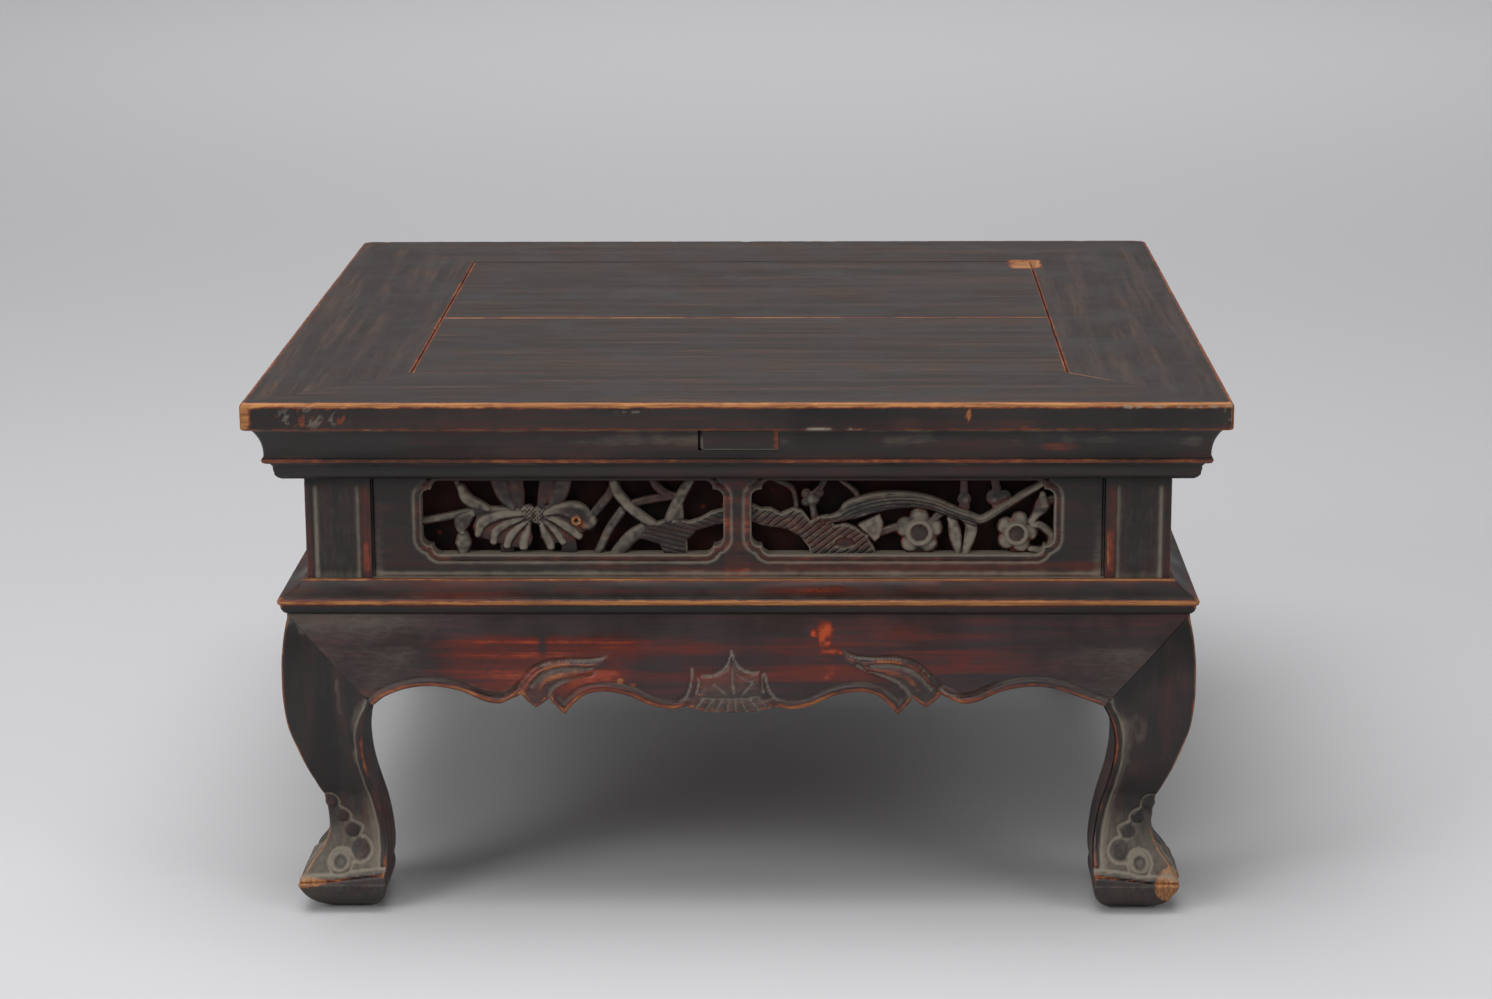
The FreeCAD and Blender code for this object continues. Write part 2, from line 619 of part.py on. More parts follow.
def moulding_profile(size):
    """Section of the lower moulding: across is Y, up is Z."""
    def corner(inset, rise, *bulge):
        return (inset - size.half, size.apron_top + rise, *bulge)

    none = size.half * 0
    back = size.moulding_inset + size.moulding_width
    bead_top = size.moulding_bead_rise + size.moulding_bead
    return [
        corner(back, none),
        corner(back, size.moulding_height),
        corner(size.moulding_ledge, size.moulding_height),
        corner(size.moulding_ledge, size.moulding_height - size.moulding_lip, -LEDGE_SHARE),
        corner(size.moulding_inset, bead_top, -BEAD_SHARE),
        corner(size.moulding_inset, size.moulding_bead_rise, -OVOLO_SHARE),
        corner(size.moulding_foot, none),
    ]


def lower_moulding(doc, size, label, turns):
    body = new_body(doc, label, turns)
    gap = size.fit_gap
    profile = [moulding_profile(size)]
    prism(body, "Pad", "moulding", "YZ_Plane", -size.half, size.table_side, profile)
    base, depth = size.apron_top - size.overrun, size.moulding_height + size.overrun * 2
    reach = size.moulding_inset + size.moulding_width
    prism(body, "Pocket", "mitres", "XY_Plane", base, depth, mitre_loops(size, reach))
    face, back = size.post_half + gap, size.arch_half - gap
    notches = both_sides([rectangle(-size.half, -back, -face, -size.inner)])
    prism(body, "Pocket", "post_notches", "XY_Plane", base, depth, notches)
    level = size.ledge - size.panel_groove
    groove = rectangle(-size.half, size.half, -size.tongue_half - gap,
                       -size.tongue_half + size.panel_tongue_width + gap)
    depth = size.panel_groove + size.overrun
    prism(body, "Pocket", "panel_groove", "XY_Plane", level, depth, [groove])
    radius, edge = size.moulding_pin_radius + gap, size.half - size.moulding_pin_edge
    holes = [(-size.moulding_pin_offset, -edge, radius), (size.moulding_pin_offset, -edge, radius)]
    depth = size.overrun + size.moulding_pin_height / 2 + gap
    prism(body, "Pocket", "pin_holes", "XY_Plane", base, depth, circles=holes)
    return body


def moulding_pins(doc, size):
    """Bamboo pins, two on each side, half in the moulding and half in the apron."""
    out, along = size.half - size.moulding_pin_edge, size.moulding_pin_offset
    base = size.apron_top - size.moulding_pin_height / 2
    places = []
    for shift in (-along, along):
        places += [(shift, -out), (out, shift), (shift, out), (-out, shift)]
    pins = [
        upright_pin(doc, "moulding_pin", x, y, base, size.moulding_pin_radius, size.moulding_pin_height)
        for x, y in places
    ]
    return compound(doc, "moulding_pins", pins)


def waist_backing(doc, size, label, turns):
    """Thin board behind a waist panel's openwork, between two posts."""
    body = new_body(doc, label, turns)
    front = -size.panel_back
    board = rectangle(-size.arch_half, size.arch_half, front, front + size.backing_thickness)
    prism(body, "Pad", "board", "XY_Plane", size.ledge, size.waist_height, [board])
    return body


# Carved pieces, which are freeform solids

def at(x, y, z):
    return Vector(float(x), float(y), float(z))


def block(x0, x1, y0, y1, z0, z1):
    return Part.makeBox(float(x1) - float(x0), float(y1) - float(y0), float(z1) - float(z0), at(x0, y0, z0))


def spline(points):
    curve = Part.BSplineCurve()
    curve.interpolate(points)
    return curve.toShape()


def straight(points):
    return [Part.makeLine(first, last) for first, last in zip(points, points[1:])]


def plate(edges, y0, y1):
    """The closed outline of edges in the XZ plane at y0, carried on to y1."""
    face = Part.Face(Part.Wire(Part.sortEdges(edges)[0]))
    face.translate(at(0, y0, 0))
    return face.extrude(at(0, float(y1) - float(y0), 0))


def feature(doc, label, shape, turns):
    item = doc.addObject("Part::Feature", label)
    item.Label = label
    item.Shape = shape
    item.Placement = Placement(Vector(0, 0, 0), Rotation(Vector(0, 0, 1), turns * RIGHT_ANGLE))
    return item


def leg_outline(size):
    """Edges of the front left leg's silhouette, seen from the front."""
    def outer(height, swing):
        return at(size.leg_swing * swing - size.bulge_half, 0, height)

    def inner(height, swing):
        return at(size.knee_inset + size.inner_swing * swing - size.half, 0, height)

    toe = outer(size.toe_rise, TOE_SHARE)
    heel = inner(size.heel_rise, HEEL_SHARE)
    rise, climb = size.apron_top - size.toe_rise, size.mitre_base - size.heel_rise
    down = [outer(size.toe_rise + rise * share, swing) for share, swing in LEG_OUTER_SHARES]
    up = [inner(size.heel_rise + climb * share, swing) for share, swing in LEG_INNER_SHARES]
    arch = at(-size.arch_half, 0, size.mitre_base)
    sole_outer = at(size.sole_outer_inset - size.half, 0, 0)
    sole_inner = at(size.sole_inner_inset - size.half, 0, 0)
    chord = sole_outer - toe
    middle = toe + chord / 2 + Vector(chord.z, 0, -chord.x) * SOLE_BULGE_SHARE
    top = at(-size.arch_half, 0, size.apron_top)
    return [
        spline(down + [toe]),
        Part.Arc(toe, middle, sole_outer).toShape(),
        *straight([sole_outer, sole_inner, heel]),
        spline([heel] + up + [arch]),
        *straight([arch, top, down[0]]),
    ]


def swap_axes(shape):
    """The same shape seen across the diagonal of the front left corner."""
    return shape.mirror(Vector(0, 0, 0), Vector(1, -1, 0))


def apron_space(size):
    """Room of the front apron in the leg's shoulder, outside the mitre and in front of the core."""
    left, right = -size.bulge_top, -size.arch_half
    roof = size.apron_top + size.overrun
    points = [
        at(left, 0, size.apron_top), at(right, 0, size.mitre_base),
        at(right + size.overrun, 0, size.mitre_base), at(right + size.overrun, 0, roof),
        at(left, 0, roof), at(left, 0, size.apron_top),
    ]
    return plate(straight(points), -size.half, -size.core_half)


def hanging_key(size, gap, base):
    """Dovetail on the leg's core that the apron slides down over."""
    middle = -size.arch_half - size.key_side
    near, far = size.core_half - gap, size.core_half + size.key_depth + gap
    root, tip = size.key_width / 2 + gap, size.key_width / 2 + size.key_flare + gap
    points = [
        at(middle - root, -near, base), at(middle + root, -near, base),
        at(middle + tip, -far, base), at(middle - tip, -far, base), at(middle - root, -near, base),
    ]
    top = size.apron_top - size.key_drop + gap
    return Part.Face(Part.makePolygon(points)).extrude(at(0, 0, float(top) - float(base)))


def leg_shape(size):
    """Front left leg: foot, cabriole bend, mitred shoulder, waist post and head tenons."""
    front_view = plate(leg_outline(size), -size.half, size.half * 0)
    leg = front_view.common(swap_axes(front_view))
    space = apron_space(size)
    leg = leg.cut([space, swap_axes(space)])
    post = block(-size.post_half, -size.arch_half, -size.post_half, -size.arch_half,
                 size.apron_top, size.frame_base)
    far = size.tenon_near + size.leg_tenon_length
    back = size.tenon_face - size.leg_tenon_width
    tenon = block(-far, -size.tenon_near, -size.tenon_face, -back,
                  size.frame_base, size.frame_base + size.leg_tenon_height)
    key = hanging_key(size, size.fit_gap * 0, size.mitre_base + size.key_rise)
    leg = leg.fuse([post, tenon, swap_axes(tenon), key, swap_axes(key)])
    groove = block(-size.arch_half - size.panel_groove, -size.arch_half,
                   -size.tongue_half - size.fit_gap,
                   -size.tongue_half + size.panel_tongue_width + size.fit_gap,
                   size.ledge - size.panel_groove, size.frame_base)
    return leg.cut([groove, swap_axes(groove)]).removeSplitter()


def apron_lower_edge(size):
    """Edges of the apron's lower edge, from the left arch's end to the right one."""
    def place(out, drop, side):
        across = size.arch_half * out * side + size.carving_shift
        return at(across, 0, size.apron_top - size.apron_depth * drop)

    edges = []
    for side in (-1, 1):
        end = at(size.arch_half * side, 0, size.mitre_base)
        for run in APRON_EDGE_SHARES:
            points = [place(out, drop, side) for out, drop in run]
            if run is APRON_EDGE_SHARES[-1]:
                points.append(end)
            edges.append(spline(points))
    return edges


def corner_bevel(size):
    """Wedge beyond the diagonal, where the front apron gives way to the left one."""
    far, near = -size.half, -size.core_half
    points = [at(far, far, size.mitre_base), at(near, near, size.mitre_base),
              at(far, near, size.mitre_base), at(far, far, size.mitre_base)]
    depth = float(size.mitre_depth + size.overrun)
    return Part.Face(Part.makePolygon(points)).extrude(at(0, 0, depth))


def apron_shape(size):
    """Front apron: shaped lower edge, swelling face, mitred ends, slots for the legs' keys."""
    ends = []
    for side in (-1, 1):
        top = at(size.bulge_top * side, 0, size.apron_top)
        ends.append(Part.makeLine(top, at(size.arch_half * side, 0, size.mitre_base)))
    crown = Part.makeLine(at(-size.bulge_top, 0, size.apron_top), at(size.bulge_top, 0, size.apron_top))
    outline = [*apron_lower_edge(size), *ends, crown]
    apron = plate(outline, -size.half, -size.core_half)
    swell = swap_axes(plate(leg_outline(size), -size.half, size.half))
    apron = apron.common(swell)
    bevel = corner_bevel(size)
    apron = apron.cut([bevel, bevel.mirror(Vector(0, 0, 0), Vector(1, 0, 0))])
    slot = hanging_key(size, size.fit_gap, size.mitre_base - size.overrun)
    other = slot.mirror(Vector(0, 0, 0), Vector(1, 0, 0))
    out = size.half - size.moulding_pin_edge
    base = size.apron_top - size.moulding_pin_height / 2 - size.fit_gap
    radius = float(size.moulding_pin_radius + size.fit_gap)
    holes = [
        Part.makeCylinder(radius, float(size.moulding_pin_height), at(x, -out, base))
        for x in (-size.moulding_pin_offset, size.moulding_pin_offset)
    ]
    return apron.cut([slot, other, *holes]).removeSplitter()


# Openwork waist panel

def cartouche(size, left, y0, y1):
    """Opening with cusped corners, as a solid from y0 to y1."""
    low = size.ledge + size.opening_rise
    right, high = left + size.opening_width, low + size.opening_height
    middle_x, middle_z = left + size.opening_width / 2, low + size.opening_height / 2
    half_x, half_z = size.opening_width / 2, size.opening_height / 2

    def point(across, up, side_x, side_z):
        return at(middle_x + (half_x - across) * side_x, 0, middle_z + (half_z - up) * side_z)

    edges, none = [], size.half * 0
    wide, tall = size.cusp_width, size.cusp_height
    for side_x, side_z in ((-1, -1), (1, -1), (1, 1), (-1, 1)):
        cusp = point(wide / 2, tall / 2, side_x, side_z)
        upper, lower = point(none, tall, side_x, side_z), point(wide, none, side_x, side_z)
        bow_up, bow_low = wide * QUARTER_SHARE / 2, tall * QUARTER_SHARE / 2
        edges.append(Part.Arc(upper, point(bow_up, tall * 3 / 4 - bow_low, side_x, side_z), cusp).toShape())
        edges.append(Part.Arc(cusp, point(wide * 3 / 4 - bow_up, bow_low, side_x, side_z), lower).toShape())
    for side in (-1, 1):
        edges += straight([point(none, tall, side, -1), point(none, tall, side, 1)])
        edges += straight([point(wide, none, -1, side), point(wide, none, 1, side)])
    return plate(edges, y0, y1)


def stroke_edges(points, widths):
    """Outline of a ribbon along points, with its half width at each."""
    left, right = [], []
    for index, (point, width) in enumerate(zip(points, widths)):
        before, after = points[max(index - 1, 0)], points[min(index + 1, len(points) - 1)]
        way = (after - before).normalize()
        side = Vector(-way.z, 0, way.x) * width
        left.append(point + side)
        right.append(point - side)
    around = left + right[::-1]
    return straight(around + around[:1])


def openwork(size, left, strokes, patches, discs):
    """Solids of one cartouche's carving, in front of which the panel's face stands a little."""
    low = size.ledge + size.opening_rise
    face = -size.panel_half + size.carving_recess
    back = face + size.carving_thickness

    def place(across, up):
        return at(left + size.opening_width * across, 0, low + size.opening_height * up)

    solids = []
    for stroke in strokes:
        points = [place(across, up) for across, up, _ in stroke]
        widths = [float(size.opening_height * width) for _, _, width in stroke]
        solids.append(plate(stroke_edges(points, widths), face, back))
    for patch in patches:
        points = [place(across, up) for across, up in patch]
        solids.append(plate(straight(points + points[:1]), face, back))
    for across, up, radius in discs:
        circle = Part.makeCircle(float(size.opening_height * radius), place(across, up), Vector(0, 1, 0))
        solids.append(plate([circle], face, back))
    return solids


def waist_panel_shape(size):
    """Panel between two posts: tongues all round, and two cartouches with openwork."""
    face, back = -size.panel_half, -size.panel_half + size.panel_thickness
    panel = block(-size.arch_half, size.arch_half, face, back, size.ledge, size.frame_base)
    reach = size.arch_half + size.panel_tongue
    tongue = block(-reach, reach, -size.tongue_half, -size.tongue_half + size.panel_tongue_width,
                   size.ledge - size.panel_tongue, size.frame_base + size.panel_tongue)
    panel = panel.fuse(tongue)
    lefts = (-size.stile_width / 2 - size.opening_width, size.stile_width / 2)
    front, rear = face - size.overrun, back + size.overrun
    panel = panel.cut([cartouche(size, left, front, rear) for left in lefts])
    carving = openwork(size, lefts[0], LEFT_STROKE_SHARES, LEFT_PATCH_SHARES, LEFT_DISC_SHARES)
    carving += openwork(size, lefts[1], RIGHT_STROKE_SHARES, RIGHT_PATCH_SHARES, RIGHT_DISC_SHARES)
    return panel.fuse(carving).removeSplitter()


# The table

def build_table(doc, size):
    pieces = [
        tenoned_rail(doc, size, "top_front_rail", 0),
        mortised_rail(doc, size, "top_right_rail", 1),
        tenoned_rail(doc, size, "top_back_rail", 2),
        mortised_rail(doc, size, "top_left_rail", 3),
    ]
    cut_patch_seat(pieces[0], size)
    pieces += [edge_patch(doc, size), corner_pins(doc, size)]
    side, seam = size.inner - size.board_seam, -size.seam_shift
    pieces += [
        board(doc, size, "top_front_board", -side, seam - size.board_seam / 2, False),
        board(doc, size, "top_rear_board", seam + size.board_seam / 2, side, True),
        batten(doc, size, "left_batten", -size.batten_offset),
        batten(doc, size, "right_batten", size.batten_offset),
    ]
    panel, apron, leg = waist_panel_shape(size), apron_shape(size), leg_shape(size)
    for name, turns in SIDES:
        pieces.append(feature(doc, f"{name}_waist_panel", panel, turns))
        pieces.append(waist_backing(doc, size, f"{name}_waist_backing", turns))
        pieces.append(lower_moulding(doc, size, f"{name}_lower_moulding", turns))
        pieces.append(feature(doc, f"{name}_apron", apron, turns))
    for name, turns in CORNERS:
        pieces.append(feature(doc, f"{name}_leg", leg, turns))
    pieces.append(moulding_pins(doc, size))
    doc.recompute()
    return pieces


def check(doc, pieces):
    """Stops if anything failed, if a pocket cut nothing, or if a piece isn't sound."""
    for item in doc.Objects:
        if {"Invalid", "Error"} & set(item.State):
            raise RuntimeError(f"{item.Label} failed: {item.State}")
        if item.TypeId == "PartDesign::Pocket" and not item.Shape.Volume < item.BaseFeature.Shape.Volume:
            raise RuntimeError(f"{item.Label} cuts nothing")
    for piece in pieces:
        if piece.Shape.isNull() or not piece.Shape.isValid():
            raise RuntimeError(f"{piece.Label} has no sound shape")


def write(pieces):
    os.makedirs("parts", exist_ok=True)
    for piece in pieces:
        piece.Shape.exportStep(os.path.join("parts", f"{piece.Label}.step"))
        print(piece.Label, len(piece.Shape.Solids), "solids", round(piece.Shape.Volume), "mm3")


def main():
    doc = FreeCAD.newDocument("kang_table")
    size = Sizes(make_sheet(doc))
    pieces = build_table(doc, size)
    check(doc, pieces)
    write(pieces)


main()
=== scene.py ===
# %% [markdown]
# # A square kang table with a high waist
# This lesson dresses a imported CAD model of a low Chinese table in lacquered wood. The CAD model
# gives every piece its place, so each new mesh is drawn straight in the table's own frame: the
# origin on the floor under the middle of the top, the front facing -Y, and Z up.
# Working in the real place saves all later fitting, and lets one drawing of the front serve the
# other three sides after a quarter turn.

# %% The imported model
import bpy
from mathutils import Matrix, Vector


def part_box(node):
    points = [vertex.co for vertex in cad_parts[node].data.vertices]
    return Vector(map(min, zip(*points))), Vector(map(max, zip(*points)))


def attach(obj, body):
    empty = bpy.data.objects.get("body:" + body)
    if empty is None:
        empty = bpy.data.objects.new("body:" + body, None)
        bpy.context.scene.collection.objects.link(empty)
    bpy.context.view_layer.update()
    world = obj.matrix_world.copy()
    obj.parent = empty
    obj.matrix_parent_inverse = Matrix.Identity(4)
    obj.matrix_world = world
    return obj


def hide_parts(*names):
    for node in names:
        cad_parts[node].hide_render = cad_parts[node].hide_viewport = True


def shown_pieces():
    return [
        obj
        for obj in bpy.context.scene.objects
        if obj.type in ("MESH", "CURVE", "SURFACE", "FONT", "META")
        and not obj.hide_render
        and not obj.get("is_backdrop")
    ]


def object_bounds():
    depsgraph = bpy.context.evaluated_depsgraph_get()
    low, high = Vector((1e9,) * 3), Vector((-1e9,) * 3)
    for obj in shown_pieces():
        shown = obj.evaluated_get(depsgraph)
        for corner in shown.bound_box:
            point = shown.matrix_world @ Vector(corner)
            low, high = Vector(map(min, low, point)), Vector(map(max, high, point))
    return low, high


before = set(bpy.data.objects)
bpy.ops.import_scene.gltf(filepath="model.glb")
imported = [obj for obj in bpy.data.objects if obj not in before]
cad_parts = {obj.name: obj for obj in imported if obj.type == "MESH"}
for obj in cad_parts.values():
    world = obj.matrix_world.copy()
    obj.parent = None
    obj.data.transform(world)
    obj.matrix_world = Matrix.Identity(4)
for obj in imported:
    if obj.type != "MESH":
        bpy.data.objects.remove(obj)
cad_low, cad_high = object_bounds()
print("CAD box", [round(x, 4) for x in (*cad_low, *cad_high)])

# %% Tools of the lesson
import math

import bmesh
import bpy
import numpy as np
from mathutils import Matrix, Vector

scene = bpy.context.scene
scene.view_settings.view_transform = "Standard"

# %% [markdown]
# ## Measures
# A cabinetmaker works in millimetres, so every shape is drawn in them and brought down to metres
# when its mesh is finished. The sizes that other pieces touch are read from the CAD boxes, so the
# dressed pieces can't drift away from the construction under them.

# %% Millimetres, sides and corners
MM = 0.001


def box_mm(node):
    """Lowest and highest corner of a CAD node in millimetres."""
    low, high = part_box(node)
    return low / MM, high / MM


HALF = cad_high.x / MM
HEIGHT = cad_high.z / MM
FRAME_BASE = box_mm("top_front_rail")[0].z
LEDGE = box_mm("front_lower_moulding")[1].z
APRON_TOP = box_mm("front_apron")[1].z
APRON_BACK = -box_mm("front_apron")[1].y
BULGE = -box_mm("front_apron")[0].y
PANEL_FACE = -box_mm("front_waist_panel")[0].y
SIDES = (("front", 0), ("right", 1), ("back", 2), ("left", 3))
CORNERS = (("front_left", 0), ("front_right", 1), ("back_right", 2), ("back_left", 3))
print("levels", round(HEIGHT), round(FRAME_BASE), round(LEDGE, 1), round(APRON_TOP))

# %% [markdown]
# ## Curves of the carver
# The outlines are arcs and sprung curves. An arc is given as on the CAD sketch, by how far it
# bulges from its chord. A sprung curve passes through given points like a spline batten.
# The distance to such a line is all that a gouge needs to know, so most of the carving below is
# written as lines with a depth and a width.


# %% Arcs and sprung curves
def arc(start, end, bulge, steps=8):
    """Points of an arc after its start; a plus bulges to the left of the way."""
    start, end = np.array(start, float), np.array(end, float)
    way = end - start
    turn = -4 * math.atan(2 * bulge)
    normal = np.array([-way[1], way[0]])
    centre = (start + end) / 2 - normal / (2 * math.tan(-turn / 2))
    arm, points = start - centre, []
    for angle in turn * np.arange(1, steps + 1) / steps:
        c, s = math.cos(angle), math.sin(angle)
        points.append(tuple(centre + np.array([c * arm[0] - s * arm[1], s * arm[0] + c * arm[1]])))
    return points


def sprung(points, steps=6):
    """A smooth line through points, as an array with steps places between two of them."""
    points = np.array(points, float)
    padded = np.vstack([2 * points[0] - points[1], points, 2 * points[-1] - points[-2]])
    share = np.linspace(0, 1, steps, endpoint=False)[:, None]
    line = []
    for a, b, c, d in zip(padded, padded[1:], padded[2:], padded[3:]):
        line.append(0.5 * (2 * b + (c - a) * share + (2 * a - 5 * b + 4 * c - d) * share**2
                           + (3 * b - a - 3 * c + d) * share**3))
    line.append(padded[-2][None])
    return np.vstack(line)


# %% Distances from a line, and places inside an outline
def nearest(places, line):
    """Distance from each place to the line, and the share of its length passed there."""
    best, along = np.full(len(places), np.inf), np.zeros(len(places))
    for index, (first, last) in enumerate(zip(line, line[1:])):
        way = last - first
        share = np.clip((places - first) @ way / max(way @ way, 1e-9), 0, 1)
        gap = np.hypot(*(places - first - share[:, None] * way).T)
        closer = gap < best
        best, along = np.where(closer, gap, best), np.where(closer, index + share, along)
    return best, along / (len(line) - 1)


def inside(places, outline):
    """True for each place within a closed outline."""
    x, z = places.T
    odd = np.zeros(len(places), bool)
    for (x0, z0), (x1, z1) in zip(outline, np.roll(outline, -1, axis=0)):
        if z0 != z1:
            odd ^= ((z0 > z) != (z1 > z)) & (x < (x1 - x0) * (z - z0) / (z1 - z0) + x0)
    return odd


def signed_distance(places, outline):
    """Distance to a closed outline, minus inside it."""
    gap, _ = nearest(places, np.vstack([outline, outline[:1]]))
    return np.where(inside(places, outline), -gap, gap)


def ramp(values, start, end):
    """0 up to the start and 1 from the end, whichever is higher, with a soft change between."""
    share = np.clip((np.asarray(values, float) - start) / (end - start), 0, 1)
    return share * share * (3 - 2 * share)


# %% Strokes of a gouge, and soft spots of wear
def blob(values, middle, width):
    """One at the middle value, falling away on both sides within about the width."""
    return np.exp(-(((values - middle) / width) ** 2))


def spot(x, z, middle, size):
    """One inside an oval patch, fading to nought at its rim."""
    return ramp(1 - np.hypot((x - middle[0]) / size[0], (z - middle[1]) / size[1]), 0, 0.6)


def most(*layers):
    """The strongest of several layers at each place."""
    return np.maximum.reduce(np.broadcast_arrays(*layers))


def stroke(places, points, width, height, taper=0.12):
    """A ridge of some height along a line, or a groove where height is below zero."""
    gap, along = nearest(places, sprung(points))
    ends = ramp(along, 0, taper) * ramp(1 - along, 0, taper) if taper else 1
    return height * ends * blob(gap, 0, width)


def softened(values, rounds):
    """The grid of values, each blended with its neighbours again and again."""
    for _ in range(rounds):
        padded = np.pad(values, 1, mode="edge")
        values = (padded[:-2, 1:-1] + padded[2:, 1:-1] + padded[1:-1, :-2] + padded[1:-1, 2:]) / 4
    return values


# %% [markdown]
# ## The hand in the work
# No surface of an old table is quite flat. A smooth random field, which is seeded and so comes
# out the same on each run, moves faces by tenths of a millimetre and breaks up worn edges.


# %% Unevenness
def wander(places, size, seed):
    """Smooth random values from -1 to 1, with lumps of some size in millimetres."""
    lattice = np.random.default_rng(seed).uniform(-1, 1, (32, 32, 32))
    scaled = np.asarray(places, float) / size
    cell = np.floor(scaled).astype(int)
    part = scaled - cell
    part = part * part * (3 - 2 * part)
    total = np.zeros(len(scaled))
    for corner in np.ndindex(2, 2, 2):
        weight = np.prod(np.where(corner, part, 1 - part), axis=1)
        x, y, z = ((cell + corner) % 32).T
        total += weight * lattice[x, y, z]
    return total


# %% [markdown]
# ## Colours and nodes
# Each colour is written as the hex value that a paint chart would give. Shader sockets want
# linear values, so one function turns them. One more function adds a node with its settings and
# links, and every material below is built with it. Two kinds of node do most of the work: a map
# range turns a pattern into a share from 0 to 1, and a mix lays one colour over another by it.


# %% Colours, and one way to add a node
def linear(text):
    """A hex colour as the four linear numbers of a shader socket."""
    parts = [int(text[i:i + 2], 16) / 255 for i in (1, 3, 5)]
    return (*[c / 12.92 if c <= 0.04045 else ((c + 0.055) / 1.055) ** 2.4 for c in parts], 1)


# Kinds of node with their settings, for the ones that are used again and again.
OVER = "Mix", {"data_type": "RGBA"}
DARKENING = "Mix", {"data_type": "RGBA", "blend_type": "MULTIPLY"}
SHARE = "MapRange", {"interpolation_type": "SMOOTHSTEP"}
TIMES = "Math", {"operation": "MULTIPLY", "use_clamp": True}
PLUS = "Math", {"operation": "ADD"}


def add(tree, kind, settings, *inputs, out=None, **named):
    """Adds a node and gives an output of it; inputs fill its open sockets in order, or go by name."""
    node = tree.nodes.new(f"ShaderNode{kind}")
    for name, value in settings.items():
        setattr(node, name, value)
    filled = list(zip([socket for socket in node.inputs if socket.enabled], inputs))
    filled += [(node.inputs[name.replace("_", " ")], value) for name, value in named.items()]
    for socket, value in filled:
        if isinstance(value, bpy.types.NodeSocket):
            tree.links.new(value, socket)
        else:
            socket.default_value = value
    return node.outputs[out] if out else next(socket for socket in node.outputs if socket.enabled)


def begin(name, rough):
    """A new material with its tree and its shader, at one roughness until something drives it."""
    material = bpy.data.materials.new(name)
    material.use_nodes = True
    shader = material.node_tree.nodes["Principled BSDF"]
    shader.inputs["Roughness"].default_value = rough
    return material, material.node_tree, shader


# %% [markdown]
# ## Old lacquer
# The table's finish is a thin black-brown lacquer over a red ground. Years of wiping have thinned
# it: broad clouds of the red show through, edges are worn to tan wood, and pale dust and wax lie
# in the hollows. A real finish like this is a stack of layers, so the material is one too. Three
# numbers that each mesh carries say where its wood is worn bare (wear), where dust lies (dust, which
# below nought is soot and painted shade) and where rubbing has reached the red (rub). Noise on
# object coordinates breaks their borders.
# Wood grain runs along a piece, so the noise is drawn out along that axis.

# %% Sizes in the lacquer
GRAIN_WIDTH = 1.6    # mm between pores that show through the film
GRAIN_STRETCH = 26    # length of a pore streak in its widths
BAND_WIDTH = GRAIN_WIDTH * 6    # mm between bands of growth, where the film wears sooner
CLOUD_SIZE = 55    # mm across a cloud of thinned lacquer
SPECK_SIZE = 2.6    # mm between the crumbs that break a worn border
FINE_GRAIN = 0.7    # mm between scratches, wider than real ones so that they show


def scale_for(millimetres):
    """Noise scale whose lumps are that many millimetres apart, on coordinates in metres."""
    return 1 / (millimetres * MM)


# %% The colours of a lacquer, layer over layer
def layered_colour(tree, noises, masks, thinning, grain, film, shade, ground, wood, dust):
    """Colour of a coat from its film to the soot and painted shade; also how bare its edges are and where
    dust lies.
    """
    streaks, bands, clouds, specks = noises
    wear, dust_soot_and_shade, rub = masks

    # The film, in two shades, and the ground that shows where a band of it has been wiped thin.
    patchy = add(tree, *SHARE, clouds, 0.35, 0.65)
    tone = add(tree, *OVER, patchy, linear(film), linear(shade))
    thin = add(tree, *TIMES, add(tree, *SHARE, bands, 0.42, 0.68, 0, thinning),
               add(tree, *SHARE, clouds, 0.42, 0.62, 0.25, 1))
    tone = add(tree, *OVER, thin, tone, linear(ground))

    # Rubbed places: deeper into the coat the red gets brighter, and scraping makes it brightest.
    broken = rub
    for noise, low, high, least in ((bands, 0.36, 0.58, 0.45), (specks, 0.3, 0.6, 0.7)):
        broken = add(tree, *TIMES, broken, add(tree, *SHARE, noise, low, high, least, 1))
    bright = linear(ground)
    for value, low, high, colour in ((broken, 0.5, 1, "#8c391f"), (rub, 1.05, 1.7, "#a8431f")):
        share = add(tree, *SHARE, value, low, high)
        bright = add(tree, *OVER, share, bright, linear(colour))
    tone = add(tree, *OVER, add(tree, *SHARE, broken, 0.1, 0.6), tone, bright)

    # Grain telegraphs through the film as fine dark pores and broader darker bands.
    for noise, low, high, darkest in ((streaks, 0.35, 0.62, 0.5), (bands, 0.35, 0.65, 0.65)):
        pores = add(tree, *SHARE, noise, low, high, darkest, 1.3)
        tone = add(tree, *DARKENING, grain, tone, pores)

    # Worn edges have a red-brown fringe round bare wood, and dust and then soot lie over all; the soot also
    # paints shade.
    edge, lying = (add(tree, *PLUS, value, add(tree, *SHARE, specks, 0.3, 0.7, -part, part))
                   for value, part in ((wear, 0.13), (dust_soot_and_shade, 0.07)))
    tan = add(tree, *OVER, add(tree, *SHARE, streaks, 0.35, 0.65), linear(wood), linear("#7c4c2b"))
    for value, limits, colour in (
            (edge, (0.2, 0.5), linear("#70331a")), (edge, (0.48, 0.72), tan),
            (lying, (0.08, 0.95, 0, 0.85), linear(dust)), (lying, (1, 1.4), linear("#aaa398")),
            (dust_soot_and_shade, (-1, -0.05, 0.8, 0), linear("#080605"))):
        share = add(tree, *SHARE, value, *limits)
        tone = add(tree, *OVER, share, tone, colour)
    return tone, edge, lying


